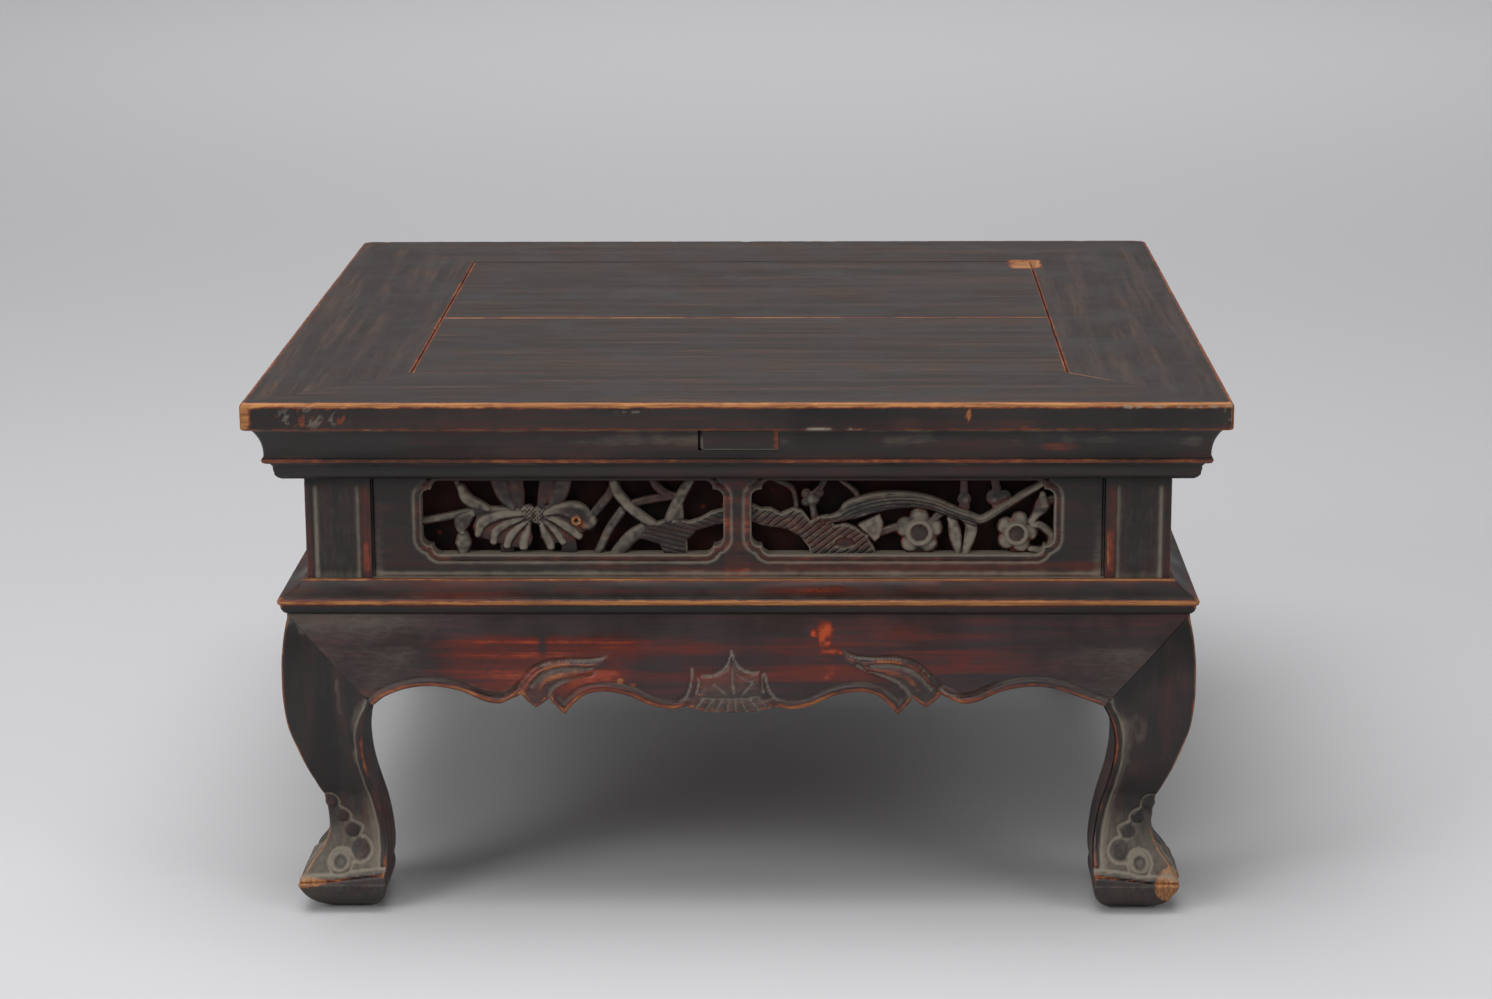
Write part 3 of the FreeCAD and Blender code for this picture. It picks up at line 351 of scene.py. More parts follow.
# %% A lacquer with its pattern, gloss and pores
def lacquer(name, along, rough=(0.36, 0.6), thinning=0.5, grain=0.25, shine=0.5, **paints):
    """Lacquered wood with its grain along an axis."""
    material, tree, shader = begin(name, 0.5)
    place = add(tree, "TexCoord", {}, out="Object")
    squeeze = [1 / GRAIN_STRETCH if axis == along else 1 for axis in "xyz"]
    drawn = add(tree, "Mapping", {}, place, Scale=squeeze)
    half_drawn = add(tree, "Mapping", {}, place, Scale=[value**0.4 for value in squeeze])
    streaks, bands, clouds, specks, fine = (
        add(tree, "TexNoise", {}, vector, Scale=scale_for(size), Detail=detail, Roughness=roughness)
        for vector, size, detail, roughness in (
            (drawn, GRAIN_WIDTH, 3, 0.6), (drawn, BAND_WIDTH, 3, 0.55), (place, CLOUD_SIZE, 5, 0.6),
            (half_drawn, SPECK_SIZE, 4, 0.65), (drawn, FINE_GRAIN, 2, 0.5)))
    wear, dust_soot_and_shade, rub = (add(tree, "Attribute", {"attribute_name": layer}, out="Fac")
                       for layer in ("wear", "dust", "rub"))
    tone, edge, lying = layered_colour(tree, (streaks, bands, clouds, specks), (wear, dust_soot_and_shade, rub), thinning,
                                       grain, **paints)
    tree.links.new(tone, shader.inputs["Base Color"])

    # Bare wood and dust are dull; the film is glossier in its clouds and where hands rubbed it.
    dull = add(tree, "Math", {"operation": "ADD", "use_clamp": True},
               add(tree, *SHARE, edge, 0.48, 0.72), add(tree, *SHARE, lying, 0.15, 0.6))
    gloss = add(tree, "Math", {"operation": "SUBTRACT"}, add(tree, *SHARE, clouds, 0.3, 0.7, *rough),
                add(tree, *SHARE, rub, 0.2, 1, 0, 0.14))
    tree.links.new(add(tree, "Mix", {"data_type": "FLOAT"}, dull, gloss, 0.8), shader.inputs["Roughness"])
    shader.inputs["IOR"].default_value = 1.45
    shader.inputs["Specular IOR Level"].default_value = shine
    pitted = add(tree, *PLUS, streaks, fine)
    bump = add(tree, "Bump", {}, Strength=0.22, Distance=0.0002, Height=pitted)
    tree.links.new(bump, shader.inputs["Normal"])
    return material


# %% The three lacquers
# Black-brown lacquer brushed over a red ground and wiped thin: nearly black in the shade, warm
# brown where light grazes it, with a soft gloss.
DARK = dict(film="#211d1b", shade="#2a2422", ground="#4f2016", wood="#ad7644", dust="#877e70",
            thinning=0.42)
# The aprons had less black over the red, and polishing brought the red up in long streaks.
RED = dict(film="#2a1f1d", shade="#322628", ground="#5c1f14", wood="#a0643a", dust="#7b7268",
           thinning=0.5)
# The top was scrubbed for years: matt and grey-brown, with all its grain showing.
TOP = dict(film="#201712", shade="#2d221c", ground="#3f2b22", wood="#a27148", dust="#7a7168",
           rough=(0.5, 0.66), thinning=0.7, grain=0.75, shine=0.42)
dark_lacquer = {axis: lacquer(f"black-brown lacquer over red, wiped thin, grain {axis}", axis, **DARK)
                for axis in "xyz"}
red_lacquer = {axis: lacquer(f"red-brown lacquer, rubbed, grain {axis}", axis, **RED) for axis in "xy"}
top_lacquer = {axis: lacquer(f"matt worn lacquer of the top, grain {axis}", axis, **TOP) for axis in "xy"}
print("materials", len(bpy.data.materials))

# %% [markdown]
# ## Finishing a piece
# Each mesh is drawn as a bmesh in millimetres on the front side. This helper turns a copy to its
# side, brings it down to metres, gives it its material, hangs it on the table's root, and hides the
# CAD node that it stands for.


# %% From a drawing to a finished piece
def set_layers(bm, **layers):
    """Stores numbers on the vertices, in their order, for the materials to read."""
    for name, values in layers.items():
        layer = bm.verts.layers.float.get(name) or bm.verts.layers.float.new(name)
        for vert, value in zip(bm.verts, values):
            vert[layer] = float(value)


SHARP = math.radians(38)    # faces that meet at more than this keep a crisp edge


def finish_piece(name, bm, material, turns=0, node=None, keep=False):
    """Makes the object of a bmesh, a quarter turn round the table for each of turns."""
    mesh = bpy.data.meshes.new(name)
    bm.to_mesh(mesh)
    if not keep:
        bm.free()
    mesh.transform(Matrix.Rotation(math.radians(90 * turns), 4, "Z") @ Matrix.Scale(MM, 4))
    mesh.shade_smooth()
    mesh.set_sharp_from_angle(angle=SHARP)
    mesh.materials.append(material)
    piece = bpy.data.objects.new(name, mesh)
    scene.collection.objects.link(piece)
    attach(piece, "root")
    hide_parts(node or name)
    return piece


def axis_of(turns):
    """Grain direction of a piece that runs along its side."""
    return "y" if turns % 2 else "x"


# %% [markdown]
# ## Moulded rails
# A rail of the top frame was planed with moulding planes: one section, run along its length, and
# mitred at both ends. The mesh is made in the same order. The section is a loop of vertices, and
# it is extruded from station to station. Then each ring slides along by its own depth, which
# brings both ends onto the diagonals and gives exact mitres with no cut.


# %% A length of moulding
def extruded(bm, edges):
    """Extrudes edges where they lie; gives the new vertices, and the new edges that are open."""
    made = bmesh.ops.extrude_edge_only(bm, edges=edges)["geom"]
    return ([part for part in made if isinstance(part, bmesh.types.BMVert)],
            [part for part in made if isinstance(part, bmesh.types.BMEdge) and part.is_boundary])


def run_of_moulding(section, stations):
    """Closed section of (y, z) extruded through stations, which are shares from -1 to 1."""
    bm = bmesh.new()
    ring = [bm.verts.new((stations[0], y, z)) for y, z in section]
    edges = [bm.edges.new(pair) for pair in zip(ring, ring[1:] + ring[:1])]
    ends = [edges]
    for before, here in zip(stations, stations[1:]):
        verts, rim = extruded(bm, ends[-1])
        bmesh.ops.translate(bm, verts=verts, vec=(here - before, 0, 0))
        ends.append(rim)
    for edges in (ends[0], ends[-1]):
        bmesh.ops.contextual_create(bm, geom=edges)
    bmesh.ops.recalc_face_normals(bm, faces=bm.faces)
    bm.verts.ensure_lookup_table()
    return bm


def coordinates(bm):
    """Places of a bmesh's vertices, in their order."""
    return np.array([vert.co[:] for vert in bm.verts])


def move_to(bm, places):
    """Puts every vertex in its new place."""
    for vert, place in zip(bm.verts, places):
        vert.co = place


def end_rounding(gap, radius):
    """How far a place at some gap from a corner slides along, and sinks, on a worn corner."""
    angle = math.radians(45) * (1 - np.clip(gap / radius, 0, 1))
    near = gap < radius
    return (np.where(near, radius * (1 - np.sin(angle)) - gap, 0),
            np.where(near, radius * (1 - np.cos(angle)), 0))


# %% Stations of a side
def spread(count, near=(), close=1.2, band=6):
    """Shares from -1 to 1: even, with close ones near both ends and near some places in mm."""
    values = set(np.round(np.linspace(-1, 1, count), 5))
    for gap in np.arange(0, band, close):
        values |= {round(1 - gap / HALF, 5), round(gap / HALF - 1, 5)}
    for place in near:
        values |= {round((place + shift) / HALF, 5) for shift in (-0.06, 0.06)}
    return sorted(values)


# %% Lines of the top frame's section
RAIL_WIDTH = 109
BAND = 20    # the flat band under the top
BAND_ROUND = 3
COVE_TOP = (-HALF + 5.4, HEIGHT - BAND)
COVE_END = (-HALF + 13.4, HEIGHT - BAND - 22.5)
BEAD_END = (-HALF + 13.4, COVE_END[1] - 4)
QUIRK = (-HALF + 16, BEAD_END[1])    # the small step inwards under the bead
OVOLO = (-HALF + 19, BEAD_END[1] - 3.5)
OVOLO_END = (-HALF + 25, FRAME_BASE)
INNER = HALF - RAIL_WIDTH
PATCH = (-25, 30.4, HEIGHT - 36.8, HEIGHT - 20.8)    # left, right, bottom and top of the repair
PATCH_SLOT = 1.8    # open gap at the repair's left end
PATCH_SEAT = -HALF + 17    # Y of the cut behind it
cove_line = np.array([COVE_TOP] + arc(COVE_TOP, COVE_END, 0.11, 40))


def cove_at(z):
    """Y of the cove's surface at a height."""
    return float(np.interp(-z, -cove_line[:, 1], cove_line[:, 0]))


def rail_section():
    """Outline of the top frame's rail, from the inner top edge outwards and round."""
    y0, top = -HALF, HEIGHT
    line = [(-INNER, top - 0.9), (-INNER - 0.25, top - 0.25), (-INNER - 0.9, top)]
    line += [(-INNER - step, top) for step in (2.5, 6, 10, 16, 22, 30, 45, 60, 75, 88)]
    line += [(y0 + step, top) for step in (8, 6, 4.6)] + [(y0 + BAND_ROUND, top)]
    line += arc(line[-1], (y0, top - BAND_ROUND), -0.2071, 6)
    line += [(y0, top - step) for step in (4.2, 6, 9, 12, 14.5, 16)]
    line += [(y0, top - BAND + BAND_ROUND - 1)]
    line += arc(line[-1], (y0 + 2, top - BAND), -0.2071, 4) + [COVE_TOP]
    levels = [PATCH[3] + 0.05, PATCH[3] - 0.05, *np.linspace(PATCH[3] - 1, PATCH[2] + 1, 11),
              PATCH[2] + 0.05, PATCH[2] - 0.05, *np.linspace(PATCH[2] - 1.2, COVE_END[1], 5)]
    line += [(cove_at(z), z) for z in levels]
    line += arc(COVE_END, BEAD_END, -0.35, 10) + [QUIRK]
    line += [OVOLO] + arc(OVOLO, OVOLO_END, -0.16, 6)
    line += [(-HALF + 40, FRAME_BASE), (-INNER, FRAME_BASE), (-INNER, HEIGHT - 16)]
    line += [(-INNER - 12, HEIGHT - 16), (-INNER - 12, HEIGHT - 8), (-INNER, HEIGHT - 8)]
    return line


SECTION = rail_section()
print("points of the rail's section", len(SECTION))

# %% [markdown]
# ## How the top frame has aged
# Wear follows use. Arms and sleeves polish the outer arris and the bead to bare wood, feet and
# brooms never reach the cove, and dust settles wherever a cloth can't follow. So each rail's layers
# are worked out from where a place lies on the section. The marks that only the front has, such as
# its scuffed left end, are added afterwards one by one. Smoke from a stove bed has blackened the
# mouldings, and their underside is painted dark as shade: soot and shade are stored as dust below
# nought, so one number carries all three.


# %% Wear, dust and rubbing on a rail
# How bare each rail's outer arris and its inner one, along the boards, have been worn.
OUTER_WEAR = dict(front=0.86, right=0.6, back=0.58, left=0.56)
INNER_WEAR = dict(front=0.34, right=0.42, back=0.16, left=0.5)


def rail_wear(places, seed, side):
    """Worn, dusty and rubbed places of a rail, as shares."""
    x, y, z = places.T
    from_mitre, out = abs(y) - abs(x), y + HALF
    slow = 0.9 + 0.2 * wander(places, 70, seed)
    broken = 1 + 0.16 * wander(places, 45, seed + 8) + 0.14 * wander(places, 9, seed + 9)
    arris = np.hypot(np.clip(out - 1.6, 0, None), np.clip(HEIGHT - 1.6 - z, 0, None))
    band_edge = np.hypot(out - 0.8, z - HEIGHT + BAND - 0.8)
    bead = np.hypot(out - 12, z - (COVE_END[1] + BEAD_END[1]) / 2)
    seam = np.where(y > -INNER - 4, blob(y, -INNER, 1.6), 0) * (z > HEIGHT - 1.2)
    wear = most(OUTER_WEAR[side] * blob(arris, 0, 2.1) * (out < 30) * broken,
                0.64 * slow * blob(band_edge, 0, 1.5), 0.68 * slow * blob(bead, 0, 2),
                0.8 * blob(from_mitre, 0, 2.4) * (z > HEIGHT - BAND - 1) * (out < 3),
                INNER_WEAR[side] * seam * (1 + wander(places, 40, seed + 2) * 0.3))
    wear += wander(places, 5, seed + 1) * 0.12 * (wear > 0.3)
    dust = most(0.5 * blob(np.hypot(out - 6, z - COVE_TOP[1] + 1), 0, 1.8),
                0.4 * blob(np.hypot(out - 15.6, z - QUIRK[1]), 0, 1.5),
                0.26 * blob(z, HEIGHT - 29, 6) * (out < 16) * (0.7 + wander(places, 60, seed + 3)))
    dust = np.clip(dust + wander(places, 9, seed + 3) * 0.14 * (dust > 0.04), 0, 1)
    rub = np.clip(0.5 * wander(places * (0.35, 1, 1), 26, seed + 4) - 0.1, 0, 1) * (z < HEIGHT - 1)
    return wear, dust, rub


# %% Marks of the front rail, and the torn place on the top
def front_marks(places, wear, dust, rub):
    """Scuffs, chips and rubs that only the front rail has, by their depth under the top."""
    x, y, z = places.T
    down = z - HEIGHT
    on_face = (y < -HALF + 14) & (down < -1.2)
    flecks = wander(places, 4, 31) + 0.6 * wander(places, 2, 32)
    scuffed = spot(x, down, (-299, -10), (42, 12)) * on_face
    dust = most(dust, scuffed * ramp(flecks, -0.1, 0.4) * 0.5)
    wear = most(wear, scuffed * ramp(flecks, -0.2, -0.6) * 0.45)
    for x0, x1, depth, amount in ((47, 70, -18.6, 1.3), (76, 93, -18.6, 1.1), (-96, -60, -6.5, 0.7)):
        scrape = ramp(x, x0, x0 + 6) * ramp(x, x1, x1 - 6) * blob(down, depth, 1.1) * on_face
        dust = most(dust, amount * scrape * ramp(wander(places, 3, 33), -0.8, 0.1))
    for middle, size, amount in (((164, -8.5), (3, 5.8), 1), ((203, -18), (5, 3), 0.55),
                                 ((-350, -10), (11, 17), 0.9)):
        wear = most(wear, amount * spot(x, down, middle, size) * on_face)
    rub = most(rub, 0.7 * spot(x, down, (229, -34), (21, 4.4)) * on_face)
    specks = ramp(x, 258, 270) * ramp(x, 345, 335) * blob(down, -2.8, 1.3)
    chipped = 0.7 * spot(x, down, (349, -8), (10, 15)) * ramp(wander(places, 3.5, 34), -0.5, 0.3)
    dust = most(dust, 0.9 * specks * ramp(flecks, 0.1, 0.5) * on_face, chipped * on_face)
    wear = most(wear, 0.6 * spot(x, down, (346, -15), (8, 8)) * ramp(flecks, 0.2, -0.3) * on_face)
    opened = blob(abs(y) - abs(x), 0, 2) * (x > 0) * ramp(abs(y), 280, 262)
    return most(wear, 0.9 * opened * (down > -1.2)), dust, rub


def torn_wood(x, y):
    """Share of bare wood where the surface was torn out, behind the right seam of the top."""
    return ramp(abs(x - 235), 15, 11) * ramp(abs(y - 226), 24, 16)


# %% The shape and the smoke that years gave a rail
def worn_rail(places, side, seed, wear):
    """Rounded corners, chipped edges and uneven faces of a rail; also which places are outside."""
    x, y, z = places.T
    places = places.copy()
    # Both back corners of the top are rubbed much rounder than the front ones.
    at_back = {"front": x > HALF, "right": x > 0, "back": x < HALF, "left": x < 0}[side]
    radius = np.where(at_back & (z > HEIGHT - BAND - 0.5), 8, 3.2)
    slide, sink = end_rounding(abs(y) - abs(x), radius)
    outside = (y < -HALF + 20) & (z > FRAME_BASE + 1)
    chips = np.clip(wander(places, 7, seed + 5) - 0.35, 0, 1) * (wear > 0.35)
    flatness = wander(places * (0.3, 1, 1), 30, seed + 6) * 0.14 * (z < HEIGHT - 0.1)
    places[:, 0] -= np.sign(x) * (slide * outside)
    places[:, 1] += sink * outside + chips * 0.9 + np.where(outside, flatness + 0.12, 0)
    places[:, 2] -= chips * 0.7 * (z > HEIGHT - BAND)
    places[:, 2] -= np.where(z > HEIGHT - 0.1, 0.1 + 0.08 * wander(places, 60, seed + 7), 0)
    places[:, 1:] = np.clip(places[:, 1:], -HALF, HEIGHT)    # nothing stands proud of the CAD box
    return places, outside


def smoked_hazy_and_shaded(worn, outside, x, y, z, wear, dust, seed):
    """Dust with a haze of grease on the mouldings, soot below nought where smoke reached them, and painted
    shade below nought underneath.
    """
    moulded = outside & (z < HEIGHT - 3)
    smoked = (0.22 + 0.5 * ramp(wander(worn * (0.3, 1, 0.7), 20, seed + 12), -0.2, 0.4)) * moulded
    hazy = 0.27 * ramp(wander(worn * (0.3, 1, 1), 9, seed + 13), 0.1, 0.7) * moulded
    dust = most(dust, hazy) - smoked * (1 - ramp(dust, 0.05, 0.25))
    mitre = 0.5 * blob(abs(y) - abs(x), 0, 1) * (z > HEIGHT - 1.2)
    dust -= mitre * (1 - ramp(wear, 0.2, 0.5))
    # Painted shade below nought on the underside and at the foot of the ovolo.
    return np.where(z < FRAME_BASE + 1.5, -0.7, dust - 0.35 * ramp(z, FRAME_BASE + 8, FRAME_BASE + 3))


# %% The four rails of the top frame
QUARTER_TURNS = ((1, 0), (0, 1), (-1, 0), (0, -1))    # cosine and sine for each side
rails = {}
for side, turns in SIDES:
    near = (PATCH[0] - PATCH_SLOT, PATCH[1]) if side == "front" else ()
    bm = run_of_moulding(SECTION, spread(321, near))
    places = coordinates(bm)
    flat, y, z = places[:, 0] * HALF, places[:, 1], places[:, 2]
    x = flat * (1 - ramp(abs(flat), 60, 320) * (1 - abs(y) / HALF))
    if side == "front":
        seat = (flat > PATCH[0] - PATCH_SLOT) & (flat < PATCH[1]) & (y < -HALF + 20)
        y = np.where(seat & (z < PATCH[3]) & (z > PATCH[2]), PATCH_SEAT, y)
    places = np.stack([x, y, z], axis=1)
    seed = 40 + turns * 10
    wear, dust, rub = rail_wear(places, seed, side)
    if side == "front":
        wear, dust, rub = front_marks(places, wear, dust, rub)
    cos, sin = QUARTER_TURNS[turns]
    torn = torn_wood(cos * x - sin * y, sin * x + cos * y) * (z > HEIGHT - 1.2)
    wear = most(wear, torn * (0.85 + 0.4 * wander(places, 6, 35)))
    worn, outside = worn_rail(places, side, seed, wear)
    move_to(bm, worn)
    wear, dust = np.clip(wear, 0, 1), np.clip(dust, 0, 1.4)
    dust = smoked_hazy_and_shaded(worn, outside, x, y, z, wear, dust, seed)
    set_layers(bm, wear=wear, dust=dust, rub=rub)
    rails[side] = finish_piece(f"{side}_top_rail", bm, dark_lacquer[axis_of(turns)],
                               turns, f"top_{side}_rail")

# %% The scrubbed finish on their upper faces
for (side, turns), rail in zip(SIDES, rails.values()):
    rail.data.materials.append(top_lacquer[axis_of(turns)])
    for face in rail.data.polygons:
        if face.normal.z > 0.9 and face.center.z > (HEIGHT - 1) * MM:
            face.material_index = 1
    print(side, "rail", len(rail.data.polygons), "faces")

# %% [markdown]
# ## Repair in the front cove
# Someone once let a short piece of wood into the hollow of the front rail. It is a length of the
# cove's own section, so it is extruded like the rail, with a rounded left end beside the open
# slot and a chipped upper corner.

# %% The patch
left, right, low, high = PATCH
cove = [(cove_at(z), z) for z in np.linspace(high - 0.15, low + 0.25, 24)]
section = cove + [(PATCH_SEAT, low + 0.25), (PATCH_SEAT, high - 0.15)]
bm = run_of_moulding(section, list(np.linspace(left + 0.1, right - 0.2, 48)))
places = coordinates(bm)
x, y, z = places.T
front = y < -HALF + 14
corner = np.clip(1 - np.hypot(x - left, z - high) / 5.5, 0, 1) * front
lower = np.clip(1 - (z - low) / 1.4, 0, 1) * front
places[:, 1] += corner * 4 + lower * 0.8 + np.clip(1 - (x - left) / 1.5, 0, 1) * front * 0.8
places[:, 0] += np.clip(1 - (z - low) / 2.5, 0, 1) * np.clip(1 - (x - left) / 3, 0, 1) * 1.2
places[:, 1] += np.where(front, wander(places, 9, 3) * 0.12 - 0.1, 0)
wear = np.clip(ramp(x, right - 5.5, right - 2.5) * 0.42 + corner * 0.3, 0, 1) * front
dust = most(np.clip(lower * 1.4, 0, 1) * front, 0.8 * blob(x, left + 0.8, 1) * (z < high - 6) * front)
move_to(bm, places)
set_layers(bm, wear=wear, dust=dust * 0.9, rub=np.zeros(len(x)))
finish_piece("cove_patch", bm, dark_lacquer["x"], 0, "front_edge_patch")
print("patch from", round(left), "to", round(right), "mm")

# %% [markdown]
# ## Boards of the top
# Two boards float in the frame's groove, and a seam stands open all round them where the wood has
# shrunk. A board is a fine grid, so that it can carry the slight cupping and the softened edges
# that catch the light, and its rim is extruded down to the underside.


# %% A fine grid with its own stations
def grid_of(xs, zs):
    """A flat grid whose columns and rows get given stations; gives the bmesh and both indices."""
    columns, rows = len(xs) - 1, len(zs) - 1
    bm = bmesh.new()
    bmesh.ops.create_grid(bm, x_segments=columns, y_segments=rows, size=1)
    flat = coordinates(bm)
    i = np.rint((flat[:, 0] + 1) / 2 * columns).astype(int)
    j = np.rint((flat[:, 1] + 1) / 2 * rows).astype(int)
    return bm, i, j


def close_behind(bm, depth, axis=1):
    """Extrudes the open rims of a face back to a depth along an axis, and closes the back."""
    verts, rim = extruded(bm, [edge for edge in bm.edges if edge.is_boundary])
    for vert in verts:
        vert.co[axis] = depth
    normal = Vector((0, 0, 0))
    normal[axis] = 1
    bmesh.ops.triangle_fill(bm, edges=rim, use_beauty=True, normal=normal)
    bmesh.ops.recalc_face_normals(bm, faces=bm.faces)


def stations(first, last, step, edge=0.5, band=2.0):
    """Stations from first to last, closer together in a band at both ends."""
    close = np.arange(0, band, edge)
    middle = np.linspace(first + band, last - band, max(2, round((last - first - 2 * band) / step)))
    return np.concatenate([first + close, middle, (last - close)[::-1]])


# %% Both boards
BOARD_SIDE = INNER - 0.8
SEAM = -21    # the seam between the boards lies a little in front of the middle
BOARD_BASE, BOARD_TOP = (corner.z for corner in box_mm("top_front_board"))
for name, y0, y1 in (("top_front_board", -BOARD_SIDE, SEAM - 0.4),
                     ("top_rear_board", SEAM + 0.4, BOARD_SIDE)):
    xs, ys = stations(-BOARD_SIDE, BOARD_SIDE, 4), stations(y0, y1, 4)
    bm, i, j = grid_of(xs, ys)
    x, y = xs[i], ys[j]
    edge = np.minimum(np.minimum(x - xs[0], xs[-1] - x), np.minimum(y - y0, y1 - y))
    flat = np.stack([x, y, np.zeros(len(x))], axis=1)
    drop = 0.6 * (1 - np.sqrt(1 - (1 - np.clip(edge / 1.2, 0, 1)) ** 2))
    cup = 0.12 * wander(flat * (0.3, 1, 1), 70, 5) + 0.05 * wander(flat * (0.15, 1, 1), 14, 6)
    z = BOARD_TOP - 0.18 - drop + np.clip(cup, -0.3, 0.17)
    broken = 1 + 0.3 * wander(flat, 18, 8) + 0.2 * wander(flat, 5, 9)
    seams = ((x - xs[0], 0.62), (xs[-1] - x, 0.46 + 0.3 * ramp(y, -150, -210)),
             (abs(y - SEAM), 0.95 - 0.3 * ramp(x, 40, 120)),
             (y + BOARD_SIDE, 0.55 - 0.4 * ramp(x, -120, -40)), (BOARD_SIDE - y, 0.15))
    wear = most(*[amount * blob(gap, 0, 1.7) * broken for gap, amount in seams],
                torn_wood(x, y) * (0.85 + 0.4 * wander(flat, 6, 36)))
    move_to(bm, np.stack([x, y, z], axis=1))
    set_layers(bm, wear=np.clip(wear, 0, 1), dust=np.zeros(len(x)), rub=np.zeros(len(x)))
    close_behind(bm, BOARD_BASE, axis=2)
    board = finish_piece(name, bm, top_lacquer["x"])
    print(name, len(board.data.polygons), "faces")

# %% [markdown]
# ## Hidden wood
# The battens under the boards and the pegs in the joints were never lacquered. Their CAD shapes
# are already right, so they stay and only get a finish: bare softwood browned by age, and bamboo.


# %% Bare wood and bamboo
STAIN_SIZE = 40    # mm across a stain of smoke and damp


def bare_wood(name, along, pale, dark, ring):
    """Unfinished wood with growth lines a few millimetres apart, along an axis."""
    material, tree, shader = begin(name, 0.78)
    place = add(tree, "TexCoord", {}, out="Object")
    drawn = add(tree, "Mapping", {}, place, Scale=[0.05 if axis == along else 1 for axis in "xyz"])
    rings = add(tree, "TexNoise", {}, drawn, Scale=scale_for(ring), Detail=4, Roughness=0.6)
    stain = add(tree, "TexNoise", {}, place, Scale=scale_for(STAIN_SIZE), Detail=3)
    grown = add(tree, *SHARE, rings, 0.35, 0.65)
    tone = add(tree, *OVER, grown, linear(pale), linear(dark))
    stained = add(tree, *SHARE, stain, 0.45, 0.75, 0, 0.5)
    tone = add(tree, *OVER, stained, tone, linear("#3b2c20"))
    tree.links.new(tone, shader.inputs["Base Color"])
    bump = add(tree, "Bump", {}, Strength=0.3, Distance=0.0003, Height=rings)
    tree.links.new(bump, shader.inputs["Normal"])
    return material


# Planed pine browned by age: straight pale and dark growth lines 3 mm apart, and no gloss.
old_pine = bare_wood("bare pine, planed and browned by age", "y", "#8a6a48", "#6b4e33", 3)
# Split bamboo, whittled round: straw-coloured, with fibres just under a millimetre apart.
bamboo = bare_wood("split bamboo, whittled", "z", "#b08f5c", "#8f7044", 0.9)
for node, finish in (("left_batten", old_pine), ("right_batten", old_pine), ("corner_pins", old_pine),
                     ("moulding_pins", bamboo)):
    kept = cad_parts[node]
    kept.data.materials.clear()
    kept.data.materials.append(finish)
    print(node, "is", finish.name)

# %% [markdown]
# ## Lower moulding
# Under the waist runs a second moulded frame: a ledge that catches dust, a hollow, and a bead
# whose crown is polished to bare wood by every passing sleeve. It is one more section run from
# mitre to mitre, notched at its back where the posts pass.

# %% Section of the lower moulding
BEAD_ROOT = -HALF + 20.7
BEAD_TOP, BEAD_FOOT = (BEAD_ROOT, APRON_TOP + 12.5), (BEAD_ROOT, APRON_TOP + 6.8)
LIP = (-HALF + 35, LEDGE - 1)    # front edge of the ledge
POST_FACE = 311.6
POST_IN = 264.0
MOULDING_BACK = BEAD_ROOT + 41.5
section = [(MOULDING_BACK, APRON_TOP), (MOULDING_BACK, LEDGE - 0.1), (-306, LEDGE), (-311.8, LEDGE),
           (-HALF + 36, LEDGE)]
section += arc(section[-1], LIP, -0.2, 3)
section += arc(LIP, BEAD_TOP, 0.06, 12) + arc(BEAD_TOP, BEAD_FOOT, -0.35, 10)
section += arc(BEAD_FOOT, (-HALF + 24.5, APRON_TOP), -0.16, 5)
print("points of the moulding's section", len(section))


# %% Wear, dust and rubbing on a lower moulding
def moulding_wear(places, seed, side):
    """Layers of a lower moulding: a bare crown, a dusty ledge, and reds on the hollow."""
    x, y, z = places.T
    out, above, from_mitre = y - BEAD_ROOT, z - APRON_TOP, abs(y) - abs(x)
    broad = wander(places * (0.25, 1, 1), 40, seed) * 0.2 + wander(places, 6, seed + 1) * 0.14
    crown = 1.12 * blob(np.hypot(out + 1.4, above - 9.6), 0, 1.9) * (1 + broad)
    lip = 0.8 * blob(np.hypot(y + HALF - 35.3, z - LEDGE + 0.6), 0, 1)
    wear = most(crown * (0.86 + 0.14 * ramp(x, -250, -60)), lip + broad * lip,
                0.85 * blob(from_mitre, 0, 2.2) * (above < 13) * (above > 5))
    dust = most(0.75 * blob(z, LEDGE, 1) * ramp(y, -HALF + 35, -HALF + 39),
                0.4 * blob(np.hypot(out - 0.6, above - 13.6), 0, 1.4))
    dust = np.clip(dust, 0, 1) - 0.9 * ramp(above, 7.5, 5)    # painted shade under the bead, as soot
    hollow = 0.42 * ramp(above, 13, 17) * (0.9 + 0.5 * wander(places, 14, seed + 5))
    rub = most(np.clip(0.7 * wander(places * (0.3, 1, 1), 30, seed + 2) + 0.12, 0, 1), hollow)
    if side == "front":    # a redder stretch right of the middle
        rub = most(rub, 0.8 * spot(x, above, (48, 18), (62, 4.5)))
    return wear, dust, rub


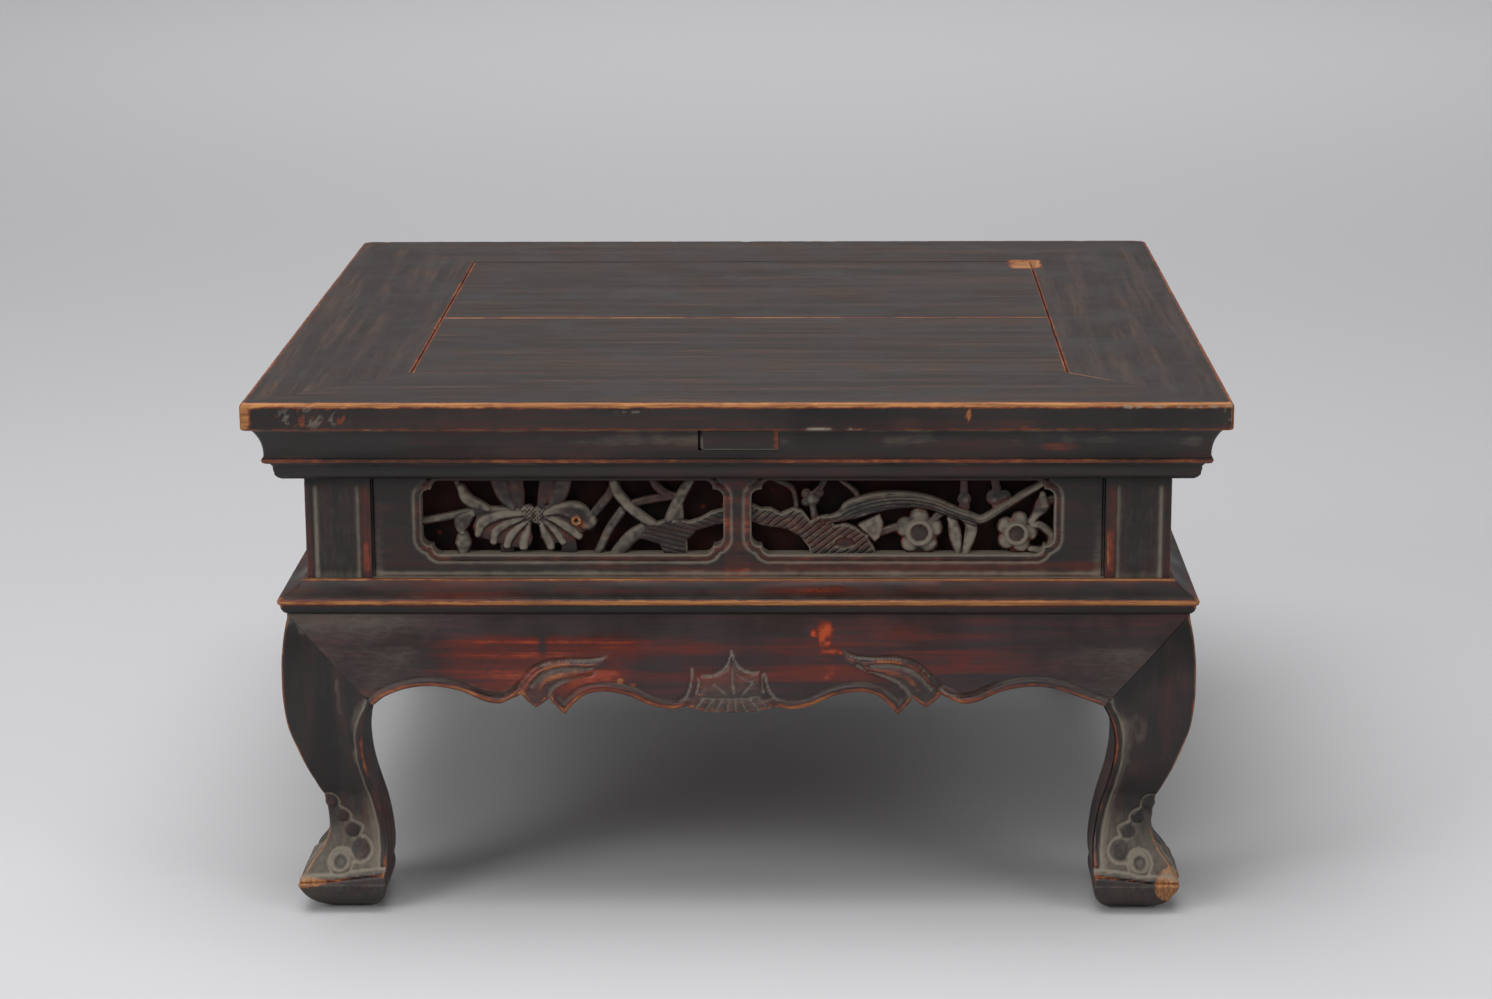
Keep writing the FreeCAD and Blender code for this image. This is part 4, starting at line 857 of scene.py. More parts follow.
# %% The four lower mouldings
for side, turns in SIDES:
    bm = run_of_moulding(section, spread(281, (-POST_IN, POST_IN)))
    places = coordinates(bm)
    flat, y, z = places[:, 0] * HALF, places[:, 1], places[:, 2]
    y = np.where((y > -POST_FACE) & (abs(flat) > POST_IN), -POST_FACE - 0.2, y)
    share = np.clip((abs(flat) - POST_IN) / (HALF - POST_IN), 0, 1)
    x = flat * (1 - share * (1 - abs(y) / HALF))
    places = np.stack([x, y, z], axis=1)
    seed = 100 + turns * 10
    wear, dust, rub = moulding_wear(places, seed, side)
    slide, sink = end_rounding(abs(y) - abs(x), 3)
    outside = y < -HALF + 34
    chips = np.clip(wander(places, 8, seed + 3) - 0.5, 0, 1) * (wear > 0.5)
    places[:, 0] -= np.sign(x) * slide * outside
    places[:, 1] += sink * outside + chips * 0.6
    places[:, 1] += np.where(outside, wander(places * (0.2, 1, 1), 30, seed + 4) * 0.15, 0)
    move_to(bm, places)
    set_layers(bm, wear=np.clip(wear, 0, 1), dust=dust, rub=rub)
    moulding = finish_piece(f"{side}_lower_moulding", bm, dark_lacquer[axis_of(turns)], turns)
    print(side, "moulding", len(moulding.data.polygons), "faces")

# %% [markdown]
# ## Swelling aprons
# The apron swells out like the legs beside it, and its lower edge is sawn to scrolls and sharp
# tips. The mesh is a grid whose columns hang from the apron's top down to that edge, with a
# column on each tip, so the silhouette is exact and the carving has an even mesh to live in.

# %% Outlines that the legs and the aprons share
TOE = 22    # height of the toe's arris
HEEL = 27
SWING = 27    # how far the outer curve swings in above the foot
INNER_SWING = 13.6
SOLE = HALF - 48    # outer end of the flat under a foot
PAD = HALF - 77    # its inner end
MITRE_RISE = 68    # height of the mitre between leg and apron
MITRE_BASE = APRON_TOP - MITRE_RISE
outer_points = ((1, 0.195), (0.923, 0.08), (0.834, 0.01), (0.757, 0), (0.679, 0.015), (0.591, 0.1),
                (0.502, 0.305), (0.423, 0.515), (0.351, 0.755), (0.298, 0.925), (0.23, 0.995),
                (0.173, 0.985), (0.12, 0.82), (0.077, 0.56), (0.038, 0.355), (0, 0.2))
outer_line = sprung([(BULGE - SWING * swing, TOE + (APRON_TOP - TOE) * rise)
                     for rise, swing in outer_points])
outer_line = np.vstack([outer_line, arc(outer_line[-1], (SOLE, 0), 0.12, 8)])[::-1]
inner_points = ((0, 0.9), (0.044, 0.978), (0.111, 1), (0.193, 0.94), (0.274, 0.838), (0.36, 0.684),
                (0.444, 0.485), (0.526, 0.287), (0.607, 0.125), (0.704, 0.01), (0.8, 0), (0.896, 0.184))
inner_line = sprung([(PAD - INNER_SWING * swing, HEEL + (MITRE_BASE - HEEL) * rise)
                     for rise, swing in inner_points] + [(POST_IN, MITRE_BASE)])
pad_side = arc((PAD, 0), inner_line[0], 0.18, 8)
inner_line = np.vstack([[(PAD, 0)], pad_side[:-1], inner_line])
print("points of a leg's two curves", len(outer_line), len(inner_line))


def face_at(z):
    """How far the swelling face stands out at a height."""
    return np.interp(z, outer_line[:, 1], outer_line[:, 0])


def arch_at(z):
    """How far the leg's inner side stands out at a height."""
    return np.interp(z, inner_line[:, 1], inner_line[:, 0])


# %% Lower edge of the apron
# Runs of the edge from tip to tip, right of the middle: shares of the way to the post, and down.
EDGE_RUNS = (
    ((0, 0.973), (0.07, 0.965), (0.125, 0.92)),
    ((0.125, 0.92), (0.163, 0.945), (0.22, 0.907), (0.277, 0.813), (0.341, 0.767), (0.394, 0.793),
     (0.428, 0.88), (0.456, 1)),
    ((0.456, 1), (0.48, 0.91), (0.498, 0.833)),
    ((0.498, 0.833), (0.534, 0.927)),
    ((0.534, 0.927), (0.56, 0.85), (0.574, 0.787)),
    ((0.574, 0.787), (0.617, 0.866), (0.64, 0.887), (0.678, 0.86), (0.742, 0.76), (0.816, 0.713),
     (0.884, 0.733), (0.945, 0.81)),
)
CARVING_MIDDLE = -5    # the carver's middle lies 5 mm left of the table's
EDGE_DROP = 75
half_edges = []
for hand in (-1, 1):
    for run in EDGE_RUNS:
        points = [(POST_IN * out * hand + CARVING_MIDDLE, APRON_TOP - EDGE_DROP * drop) for out, drop in run]
        if run is EDGE_RUNS[-1]:
            points.append((POST_IN * hand, MITRE_BASE))
        half_edges.append(sprung(points, 12))
edge_line = np.unique(np.round(np.vstack(half_edges), 4), axis=0)
tips = sorted({round(float(x), 3) for line in half_edges for x in (line[0, 0], line[-1, 0])})
arch_line = np.vstack([inner_line * (-1, 1), edge_line, inner_line[::-1]])
print("points of the arch", len(arch_line), "tips", len(tips))

# %% [markdown]
# ## Carving on the apron
# Two leaves and a shell in the middle were cut with a few strokes of a gouge, and a bead follows
# the whole edge. The left leaf and the right one differ, as hand work does, so both are written out.
# Every stroke is (places, width, height): a groove where the height is below nought.

# %% Strokes of the leaves
LEAF_GROOVES = (
    (((-215, 179.7), (-204, 178.8), (-195, 175.9), (-185, 172.1), (-175.6, 169.8), (-168.3, 170.2),
      (-163.4, 173.4), (-157.9, 178.9), (-152.3, 185.4), (-147.4, 190.1), (-142.5, 192.8),
      (-136.5, 195), (-130.5, 195.9), (-123.2, 196.6), (-106.4, 196.2), (-96.7, 198.6), (-88, 203)),
     1.3, -1.3),
    (((-150.7, 174.1), (-147.6, 179.7), (-142.7, 184.7), (-136.6, 188.1), (-128.1, 189.7),
      (-118.5, 190.1), (-108.9, 189.8), (-100.4, 191.9)), 1.1, -1.1),
    (((-137, 165.8), (-136.3, 171.5), (-132.6, 176.6), (-125.9, 180.4), (-116.2, 182.9),
      (-106.5, 185.4), (-100.5, 189.1)), 1.1, -1.1),
    (((73.1, 206.4), (79.4, 201.3), (88.2, 198.2), (99.6, 197.5), (109.6, 198.2), (117.2, 197.6),
      (127.3, 194.4), (136.1, 187.8), (143.7, 178.7), (150.1, 172.1), (158.9, 169.6), (170.3, 171.4),
      (184.1, 177.4), (196, 180)), 1.3, -1.3),
    (((92, 192.4), (100.8, 193), (113.4, 192.4), (123.5, 189.8), (131.1, 184.6), (137.4, 177.4),
      (142.5, 172.1)), 1.1, -1.1),
    (((83.2, 195), (88.2, 191.7), (93.3, 188.5), (103.4, 185.9), (113.5, 181.3), (119.8, 176),
      (124.9, 169.4), (127, 165.5)), 1.1, -1.1),
)
LEAF_RIDGES = (
    (((-162.4, 166.2), (-156.2, 171.5), (-150, 180.4), (-145.1, 186), (-140.2, 189.8), (-130.5, 192.8),
      (-118.5, 193.5), (-106.4, 193.3), (-94.3, 196.6)), 1.6, 0.7),
    (((-143.5, 172), (-141, 178.5), (-136, 182.8), (-128, 185.3), (-116, 187), (-104, 189)), 2.2, 0.8),
    (((78.2, 199.4), (85.7, 195.9), (93.3, 194.8), (104.6, 195.8), (117.2, 195), (126, 192.1),
      (133.6, 186.5), (141.2, 177.4), (148.9, 169.9)), 1.6, 0.7),
    (((88, 190), (97, 189.3), (110, 187.5), (120, 184.5), (127.5, 178.5), (133, 170)), 2.2, 0.8),
)
LEAF_AREAS = [np.array(area, float) for area in (
    ((-166, 166), (-158, 174), (-150, 186), (-140, 193), (-124, 196), (-97, 198), (-91, 193),
     (-106, 188), (-121, 182), (-131, 174), (-133, 150), (-166, 150)),
    ((72, 202), (84, 199), (117, 197), (135, 188), (148, 172), (156, 166), (156, 150), (122, 150),
     (120, 170), (112, 180), (98, 187), (80, 193)))]
print("strokes of the leaves", len(LEAF_GROOVES) + len(LEAF_RIDGES))

# %% Strokes and outline of the shell
MOTIF_LINES = (
    (((-32.8, 192.9), (-33.1, 185.1), (-33.9, 178.5), (-36.2, 171.2), (-40.6, 166.6), (-48.3, 165)),
     1.2, -1.1),
    (((19.5, 189), (20.4, 182.5), (22, 175.9), (25.1, 170.6), (29.6, 166.6), (36.5, 165.1)), 1.2, -1.1),
    (((-4.4, 206.4), (-5, 199.4), (-6.9, 193.6), (-10.8, 188.8), (-16.5, 185.4), (-22.8, 184.4),
      (-28.5, 184.8)), 1.1, -1),
    (((-4.4, 206.4), (-3.1, 198.1), (0, 192.3), (5, 188.4), (11.3, 187.3), (17.6, 187.7)), 1.1, -1),
    (((-28.5, 184.8), (-27.9, 178.5), (-30.2, 169.5)), 1, -0.9),
    (((17.6, 187.7), (17.4, 179.9), (18.4, 170.4)), 1, -0.9),
    (((-31.1, 169.2), (-19.1, 167.7), (-3.9, 167.4), (7.4, 168.1), (18.8, 170.4)), 1.1, -1),
    (((-4, 199.4), (-3.8, 183.8), (-2.7, 168.6)), 0.9, -0.9),
    (((-19, 180.1), (-12.7, 175.2), (-6.5, 169.5)), 0.9, -0.7),
    (((-2.6, 187.7), (7.5, 181.2), (17.6, 175.9)), 0.9, -0.7),
    (((-25.3, 181.8), (-24.1, 175.2), (-28.6, 171.9)), 0.9, -0.7),
    (((12.6, 184.9), (7.5, 175.9), (-0.1, 168.6)), 0.9, -0.7),
)
MOTIF = np.array((
    (-4.4, 207), (-5, 199.4), (-6.9, 193.6), (-10.8, 188.8), (-16.5, 185.4), (-22.8, 184.4),
    (-28.5, 184.8), (-27.9, 178.5), (-31, 169.5), (-36, 160), (-36, 150), (28, 150), (28, 160),
    (18.4, 170.4), (17.4, 179.9), (17.6, 187.7), (11.3, 187.3), (5, 188.4), (0, 192.3), (-3.1, 198.1)))
FLUTES = ((-25.4, 167.3, -30.3, 160.6), (-18.5, 166.6, -23, 159.2), (-11.5, 166.3, -16.4, 157.8),
          (-6.5, 166.6, -7.8, 157.2), (-2.1, 166.6, -1.2, 157.2), (2.4, 166.6, 6.7, 157.6),
          (9.3, 166.9, 15, 159.4), (15.7, 167.7, 22.6, 160.8))
print("strokes of the shell", len(MOTIF_LINES) + len(FLUTES))


# %% Relief of the apron
def bead_and_groove(edge, width=5.4):
    """A round bead along an edge with a hollow behind it, by distance from the edge."""
    round_part = np.sqrt(np.clip(1 - ((edge - width / 2) / (width / 2)) ** 2, 0, 1)) * 1.9 - 1.4
    return np.where(edge < width, round_part, -1.4 * blob(edge, width + 0.6, 1.5))


def from_leaves(places):
    """Distance to the nearer leaf, minus inside it."""
    return np.minimum(*[signed_distance(places, area) for area in LEAF_AREAS])


def apron_relief(places):
    """Height of the apron's carving above its swelling face, in millimetres."""
    edge, _ = nearest(places, arch_line)
    leaf, motif = from_leaves(places), signed_distance(places, MOTIF)
    plain = ramp(leaf, -1, 3) * ramp(abs(places[:, 0] - CARVING_MIDDLE - 1), 30, 38)
    relief = plain * bead_and_groove(edge)
    relief += (1 - plain) * -1.3 * (1 - ramp(edge, 0, 2.2))
    relief += 0.8 * ramp(leaf, 0.5, -2.5)
    for points, width, height in LEAF_GROOVES:
        relief += stroke(places, points, width * 1.2, height * 1.9)
    for points, width, height in LEAF_RIDGES:
        relief += stroke(places, points, width, height * 1.7)
    relief += 1.3 * ramp(motif, 0.8, -1.4)
    for points, width, height in MOTIF_LINES:
        relief += stroke(places, points, width, height * 1.5)
    for x0, z0, x1, z1 in FLUTES:
        relief += stroke(places, ((x0, z0), ((x0 + x1) / 2, (z0 + z1) / 2), (x1, z1)), 1.1, -1.4, 0)
    return relief


# %% Mesh of the apron
columns = [np.linspace(a, b, max(3, round((b - a) / 1.15) + 1))[:-1] for a, b in zip(tips, tips[1:])]
bottom = np.append(np.concatenate(columns), tips[-1])
rows = np.linspace(0, 1, 65) ** 1.15
bm, i, j = grid_of(bottom, rows)
low_z = np.interp(bottom, edge_line[:, 0], edge_line[:, 1])[i]
z = low_z + (APRON_TOP - low_z) * rows[j]
reach = face_at(APRON_TOP) - POST_IN
x = bottom[i] + np.sign(bottom[i]) * reach * (abs(bottom[i]) / POST_IN) ** 3 * rows[j]
flat = np.stack([x, z], axis=1)
relief = apron_relief(flat)
y = -face_at(z) - relief
solid = np.stack([x, y, z], axis=1)
y = y + wander(solid * (0.3, 1, 1), 26, 61) * 0.18
move_to(bm, np.stack([x, y, z], axis=1))
print("apron grid", len(bottom), "by", len(rows), "relief", np.round([relief.min(), relief.max()], 1))


# %% Crests and hollows
def crests_of(relief, i, j, rounds):
    """How far each place stands above the softened grid: crests above nought, hollows below."""
    table = np.zeros((i.max() + 1, j.max() + 1))
    table[i, j] = relief
    return (table - softened(table, rounds))[i, j]


sharp = crests_of(relief, i, j, 14)
edge, _ = nearest(flat, arch_line)
leaf_gap, motif_gap = from_leaves(flat), signed_distance(flat, MOTIF)
noise = wander(solid, 12, 62) * 0.25 + wander(solid, 4, 63) * 0.2
print("crests", np.round([sharp.min(), sharp.max()], 2))

# %% [markdown]
# ## Colours of the apron
# The apron is the reddest piece. Wiping wore its crests and the bead to tan wood, dust stayed in
# the gouge marks, and the black has gone from broad streaks left and right of the middle. The front
# one was also scraped down to bright red in a bar right of the middle. Each of these is one layer.

# %% Bare crests and edges
bare_edge = 0.44 + 0.3 * spot(x, z, (52, 166), (24, 30)) + 0.35 * spot(x, z, (-116, 162), (18, 14))
wear = ramp(sharp, 0.2, 0.8) * (0.42 - 0.12 * ramp(x, -20, 60)) + bare_edge * blob(edge, 1.6, 1.6)
wear = wear * (0.92 + 0.5 * wander(solid, 26, 64)) + noise * (sharp > 0.1) * 0.4
for points, width, amount in ((((-143, 188), (-136, 191.3), (-127, 193), (-117, 193.6)), 1.8, 0.8),
                              (((96, 195), (105, 195.8), (114, 195.3), (121, 193.6)), 1.6, 0.7)):
    wear = most(wear, stroke(flat, points, width, amount, 0.2))
for x0, z0, size, amount in ((-85, 181, 4.2, 0.62), (-75.5, 178, 3.2, 0.45), (-117, 188, 3.6, 0.6),
                             (111, 161, 5, 0.6), (-121, 160, 6, 0.6)):
    wear = most(wear, amount * spot(x, z, (x0, z0), (size, size)))
print("bare share", round(float((wear > 0.5).mean()), 3))

# %% Dust in the gouge marks, and haze at both ends
dust = np.clip(ramp(sharp, -0.12, -0.7) * 0.9 + noise * 0.2 * (sharp < -0.1), 0, 1)
dust = np.where((edge > 4) & (leaf_gap > 0) & (motif_gap > 8), 0.5 * dust, dust)
top_left = ramp(z, 190, 226) * ramp(x, -160, -285)
ends = ramp(abs(x), 200, 250) * ramp(z, 214, 202)
behind_bead = 0.6 * blob(edge, 6.8, 1.2) * ramp(leaf_gap, 0, 4)
dust = most(dust, behind_bead * (0.7 + 0.6 * wander(solid, 22, 69)),
            0.36 * top_left + 0.1 * ramp(z, APRON_TOP - 16, APRON_TOP - 2),
            0.25 * ends * (1 + 0.5 * wander(solid, 20, 68)),
            0.22 * ramp(leaf_gap, 4, -6) + 0.3 * ramp(motif_gap, 1, -3))
print("dusty share", round(float((dust > 0.3).mean()), 3))

# %% Red streaks where the black has gone
rub = 0.53 * spot(x, z, (-150, 196), (105, 34)) + 0.54 * spot(x, z, (-40, 200), (230, 34))
rub = most(rub * ramp(z, 226, 208), 0.22 * spot(x, z, (90, 200), (150, 36)))
rub = rub + wander(solid * (0.3, 1, 0.7), 30, 65) * 0.3 + wander(solid * (0.4, 1, 1), 12, 66) * 0.15
for x0, z0, wide, tall, amount in ((-168, 195, 18, 8, 0.34), (-115, 204, 24, 7, 0.34),
                                   (-230, 187, 12, 7, 0.26), (-205, 209, 75, 12, 0.16),
                                   (-95, 213, 55, 9, 0.16), (160, 196, 10, 5, 0.3)):
    rub = rub + amount * spot(x, z, (x0, z0), (wide, tall)) * (0.9 + noise)
# Less red in a dark stroke beside the left leaf, under the haze, left of the shell and at the ends.
rub = rub * (1 - 0.8 * blob(x, -140.5, 3.5) * ramp(z, 196, 204)) * (1 - 0.75 * top_left)
rub = rub * (1 - 0.7 * spot(x, z, (-60, 182), (36, 19))) * (1 - 0.6 * ends)
rub = np.minimum(rub * (1 - 0.7 * ramp(leaf_gap, 4, -6)) * ramp(abs(x), 268, 225), 0.95)
print("red share", round(float((rub > 0.3).mean()), 3))

# %% The scraped bar of the front apron
x_bar, z_bar = x + 1.7 * wander(solid, 6, 71), z + 1.7 * wander(solid, 5, 72)
for x0, x1, z0, z1, amount in ((59, 67, 202, 223, 1.4), (58.5, 76, 201, 206, 1.85),
                               (54, 69, 214.5, 218.5, 1.5), (60, 72, 181, 199, 0.72)):
    bar = ramp(x_bar, x0 - 3, x0 + 2) * ramp(x_bar, x1 + 3, x1 - 2)
    bar = bar * ramp(z_bar, z0 - 3, z0 + 2) * ramp(z_bar, z1 + 3, z1 - 2)
    rub = most(rub, amount * bar * (0.92 + 0.6 * wander(solid, 3.6, 67)))
print("scraped places", int((rub > 1.05).sum()))

# %% The four aprons
set_layers(bm, wear=np.clip(wear, 0, 1), dust=dust, rub=np.clip(rub, 0, 1.8))
close_behind(bm, -APRON_BACK)
for vert in bm.verts:    # the back is cut short so that it stays clear of the next apron's
    limit = abs(vert.co.y) - 0.1
    if vert.co.y > -APRON_BACK - 0.01 and abs(vert.co.x) > limit:
        vert.co.x = math.copysign(limit, vert.co.x)
rub_layer = bm.verts.layers.float["rub"]
for side, turns in SIDES:
    finish_piece(f"{side}_apron", bm, red_lacquer[axis_of(turns)], turns, keep=True)
    for vert in bm.verts:    # only the front apron was scraped down to bright red
        vert[rub_layer] = min(vert[rub_layer], 0.5)
print("apron faces", len(bm.faces))

# %% [markdown]
# ## Cabriole legs
# A leg is sawn from one square balk: the same curve is cut on two faces, which gives the swelling
# knee, the thin ankle and the foot that turns out. The mesh is a skin round that section, row by
# row, so the two faces meet in one arris that can be rounded like the worn one.


# %% A skin round a changing section
def skin(rows, counts):
    """Closed skin over rows of corner points (x, y, z), with a number of columns for each side."""
    count, total = len(rows), sum(counts)
    bm = bmesh.new()
    bmesh.ops.create_grid(bm, x_segments=total, y_segments=count - 1, size=1)
    flat = coordinates(bm)
    i = np.rint((flat[:, 0] + 1) / 2 * total).astype(int)
    j = np.rint((flat[:, 1] + 1) / 2 * (count - 1)).astype(int)
    corners = np.array(rows, float)
    start = np.concatenate([[0], np.cumsum(counts)])
    segment = np.clip(np.searchsorted(start, i, side="right") - 1, 0, len(counts) - 1)
    share = (i - start[segment]) / np.array(counts)[segment]
    first = corners[j, segment]
    last = corners[j, (segment + 1) % corners.shape[1]]
    return bm, first + (last - first) * share[:, None], segment % len(counts), i % total, j


def weld_and_cap(bm):
    """Closes a skin: welds the seam, drops faces of no size and fills both ends."""
    bmesh.ops.remove_doubles(bm, verts=bm.verts, dist=0.002)
    bmesh.ops.dissolve_degenerate(bm, edges=bm.edges, dist=0.001)
    rims = [edge for edge in bm.edges if edge.is_boundary]
    bmesh.ops.holes_fill(bm, edges=rims, sides=0)
    bmesh.ops.recalc_face_normals(bm, faces=bm.faces)


# %% [markdown]
# ## Carving on the foot
# A cloud scroll climbs the inner half of each foot: a wavy outline with four round lobes and a
# ring in it. A crease parts the foot from its pad. It is the same gouge work as on the apron, so
# it is written the same way, and both faces of a leg read it from their own corner.

# %% Lines of the foot
CLOUD = ((-308.1, 85.8), (-302.2, 87.8), (-297.3, 85.6), (-294.8, 80.8), (-294.4, 77.1), (-289.8, 74.4),
         (-286.8, 70.6), (-286.2, 66.5), (-282.3, 64.3), (-278.6, 62.1), (-278.4, 58.8), (-279.7, 55.3),
         (-276, 53.3), (-272.5, 49.9), (-271, 45.7), (-271.8, 41.8), (-274.8, 38.7), (-279.4, 37.1),
         (-284.2, 38.3), (-287.1, 40.9))
LOBES = ((-299.6, 79.6, 2.8), (-292.7, 69.2, 4.5), (-285.6, 58.8, 5.5), (-279.5, 46.5, 6.8))
RING = (-293.7, 37.8)
CREASE = np.array(((-330, 23.8), (-313.6, 24.6), (-299.9, 25.1), (-288.4, 26.5), (-275.8, 27.9),
                   (-255, 29.4)))


def leg_relief(places):
    """Height of a leg's carving above its face; across is measured from the table's middle."""
    edge, _ = nearest(places, arch_line)
    x, z = places.T
    crease, _ = nearest(places, CREASE)
    above = z > np.interp(x, *CREASE.T)
    relief = bead_and_groove(edge) * above * ramp(z, 31, 36)
    relief = np.minimum(relief, 0.5) - 1.2 * blob(crease, 4.6, 1.4) * above
    relief -= 1.3 * blob(crease, 0, 0.9) * (1 - above)
    relief += 0.9 * blob(crease, 1.6, 1.6) * above
    relief += stroke(places, CLOUD, 1.3, -1.6, 0.05)
    for x0, z0, radius in LOBES:
        gap = np.hypot(x - x0, z - z0) / radius
        relief += 1.3 * np.sqrt(np.clip(1 - gap**2, 0, 1))
    gap = np.hypot(x - RING[0], z - RING[1])
    relief += 1.2 * blob(gap, 5.8, 1.7) - 1.2 * blob(gap, 8.8, 1) - 0.6 * blob(gap, 0, 2.6)
    return relief


# %% Rows of a leg
heights = np.concatenate([np.arange(0, 36, 1), np.arange(36, 112, 1.15), np.arange(112, MITRE_BASE, 1.8),
                          np.arange(MITRE_BASE, APRON_TOP, 1.8), [APRON_TOP]])
CORE = APRON_BACK    # the leg reaches this far in behind the apron
WEB = 0.3    # thickness of the sliver beside the mitre
MITRE_GAPS = (0.14, 0.5)    # a closed joint on one face of a leg, a shrunken one on the other


def half_ring(z, gap):
    """Corners of a leg's section at a height, from the outer corner to the inner one, on one face."""
    a, b = float(face_at(z)), float(arch_at(z))
    if z < MITRE_BASE + 0.01:
        c = a - 0.4 * (a - b)
        return [(-a, -a), (-b, -a), (-b, -c), (-b, -c), (-b, -c), (-b, -b)]
    mitre = POST_IN + (z - MITRE_BASE) / MITRE_RISE * (float(face_at(APRON_TOP)) - POST_IN)
    mitre = min(mitre + gap, a - 0.03)
    web = min(WEB, (a - mitre) / 2)
    middle = (-CORE, -CORE - web) if mitre > CORE else (-(mitre + POST_IN) / 2, -CORE)
    behind = -mitre - web if mitre > CORE else -CORE
    return [(-a, -a), (-mitre, -a), (-mitre, behind), middle, (-POST_IN, -CORE), (-POST_IN, -POST_IN)]


# %% Shape of a leg
def bent(x, y, i, front, side_face, along, depth):
    """Both shown faces moved along themselves and inwards; their arris (i = 0) only goes inwards."""
    arris = i == 0
    return (x + np.where(arris | side_face, depth, np.where(front, along, 0)),
            y + np.where(arris | front, depth, np.where(side_face, along, 0)))


rows = []
for z in heights:
    closed, open_side = (half_ring(z, gap) for gap in MITRE_GAPS)
    rows.append([(x, y, z) for x, y in closed + [(y, x) for x, y in open_side[-2:0:-1]]])
bm, places, segment, i, j = skin(rows, (54, 18, 4, 4, 18, 18, 4, 4, 18, 54))
x, y, z = places.T.copy()
front, side_face = segment == 0, segment == 9
shown = front | side_face | (i == 0)
across = np.where(side_face, y, x)
flat = np.stack([across, z], axis=1)
relief = leg_relief(flat) * shown
a, b = face_at(z), arch_at(z)
slide, sink = end_rounding(across + a, 2.4)
slide_in, sink_in = end_rounding(np.where(z < MITRE_BASE, -b - across, 99), 1.3)
depth = np.where(shown, sink + sink_in - relief + wander(places, 22, 71) * 0.2, 0)
x2, y2 = bent(x, y, i, front, side_face, np.where(shown, slide - slide_in, 0), depth)
move_to(bm, np.stack([x2, y2, z], axis=1))
print("leg skin", len(bm.verts), "places in", len(heights), "rows")

# %% [markdown]
# ## Colours of a leg
# The leg is the darkest piece: its upper half is smoked, with a faint greasy haze, and only its
# arris and the bead along the arch are bare. Floor dust has greyed the scroll of the foot up to a
# hand's breadth, and every toe is knocked.

# %% Where a place lies on the leg
sharp = crests_of(relief, i, j, 12)
rough = wander(places, 14, 72) * 0.22 + wander(places, 4.5, 73) * 0.18
streaks = 0.8 + 0.9 * wander(places, 16, 76)
crease, _ = nearest(flat, CREASE)
edge, _ = nearest(flat, arch_line)
lobes = np.min([np.hypot(across - x0, z - z0) - r for x0, z0, r in LOBES], axis=0)
from_ring = np.hypot(across - RING[0], z - RING[1])
crease_z = np.interp(across, *CREASE.T)
above = z > crease_z + 1
low = ramp(z, 104, 52) * (z > crease_z + 1.5)    # the dusty scroll
bead_above = z > 32    # the arch's bead ends above the crease
print("places on the scroll", int((low > 0.5).sum()))

# %% Bare arrises of a leg
wear = 0.3 * ramp(sharp, 0.35, 0.9) * (0.6 + 0.5 * wander(places, 20, 75))
low_arris = 0.45 * blob(across + a, 0, 1.1) * ramp(z, 70, 30)
wear += (low_arris + 0.74 * blob(across + a, 0, 1.4) * streaks) * shown
bead_wear = (0.4 + 0.2 * ramp(z, 80, 40)) * blob(edge, 1.4, 1.4)
thick = ramp(across, -300, -318)
worn_line = blob(crease, 0.4 + 1.2 * thick, 0.7 + 1.5 * thick) * (0.58 + 0.42 * thick) * (0.9 + rough)
wear = most(wear, bead_wear * shown * bead_above * streaks, worn_line * shown,
            0.9 * blob(np.hypot(across + a, z - 24), 0, 5) * shown,
            0.85 * blob(np.hypot(across + b, z - 29.5), 0, 2.6) * shown)
wear = np.clip(wear + rough * (wear > 0.15) * 0.6, 0, 1)
print("bare share", round(float((wear > 0.5).mean()), 3))

# %% Floor dust, haze and smoke of a leg
dust = 0.5 * ramp(sharp, -0.15, -0.7) * ramp(z, 20, 32) + 0.42 * low * (0.6 + 0.4 * ramp(lobes, -0.8, 0.6))
dust += 0.24 * blob(edge, 7.6, 3.4) * bead_above + 0.36 * blob(from_ring, 6.4, 2)
dust *= 1 - 0.5 * ramp(from_ring, 4.8, 3.6)
dust += 0.16 * blob(crease, 4.2, 3.2) * above * ramp(wander(places, 3.2, 78), -0.4, 0.6)
dust += 0.26 * (z < 24) * (1 - above)
hazy = 0.26 * ramp(wander(places * (1, 1, 0.5), 24, 79), 0, 0.6)
hazy += 0.16 * ramp(wander(places * (1, 1, 0.2), 5, 80), 0, 0.6)
dust += hazy * ramp(z, 90, 130)
dust *= 1 - 0.85 * ramp(edge, 5.4, 3.8) * (z > 34)
dust = np.clip((dust + rough * 0.22 * (dust > 0.05)) * shown, 0, 1)
smoked = ramp(wander(places * (1, 1, 0.4), 20, 81), -0.2, 0.4) * (z > 34) * shown
dust -= (0.3 * (z > 90) + 0.5 * smoked) * (1 - ramp(dust, 0.1, 0.3)) * shown
print("sooty share", round(float((dust < -0.1).mean()), 3))

# %% Red of a leg
drawn = places * (1, 1, 0.3)
rub = np.clip(wander(drawn, 22, 74) * 0.5 - 0.2, 0, 1) * ramp(z, 225, 190)
rub = most(rub, 0.26 * ramp(edge, 5.5, 4) * shown * bead_above * (0.75 + wander(drawn, 9, 77)))
rub = rub * ramp(lobes, 0, 1.5) * (1 - 0.8 * low)
rub = np.clip(most(rub, 0.4 * (~shown) * ramp(z, 150, 110)), 0, 1)
set_layers(bm, wear=wear, dust=dust, rub=rub)
weld_and_cap(bm)
print("leg faces", len(bm.faces), "open edges", sum(e.is_boundary for e in bm.edges))

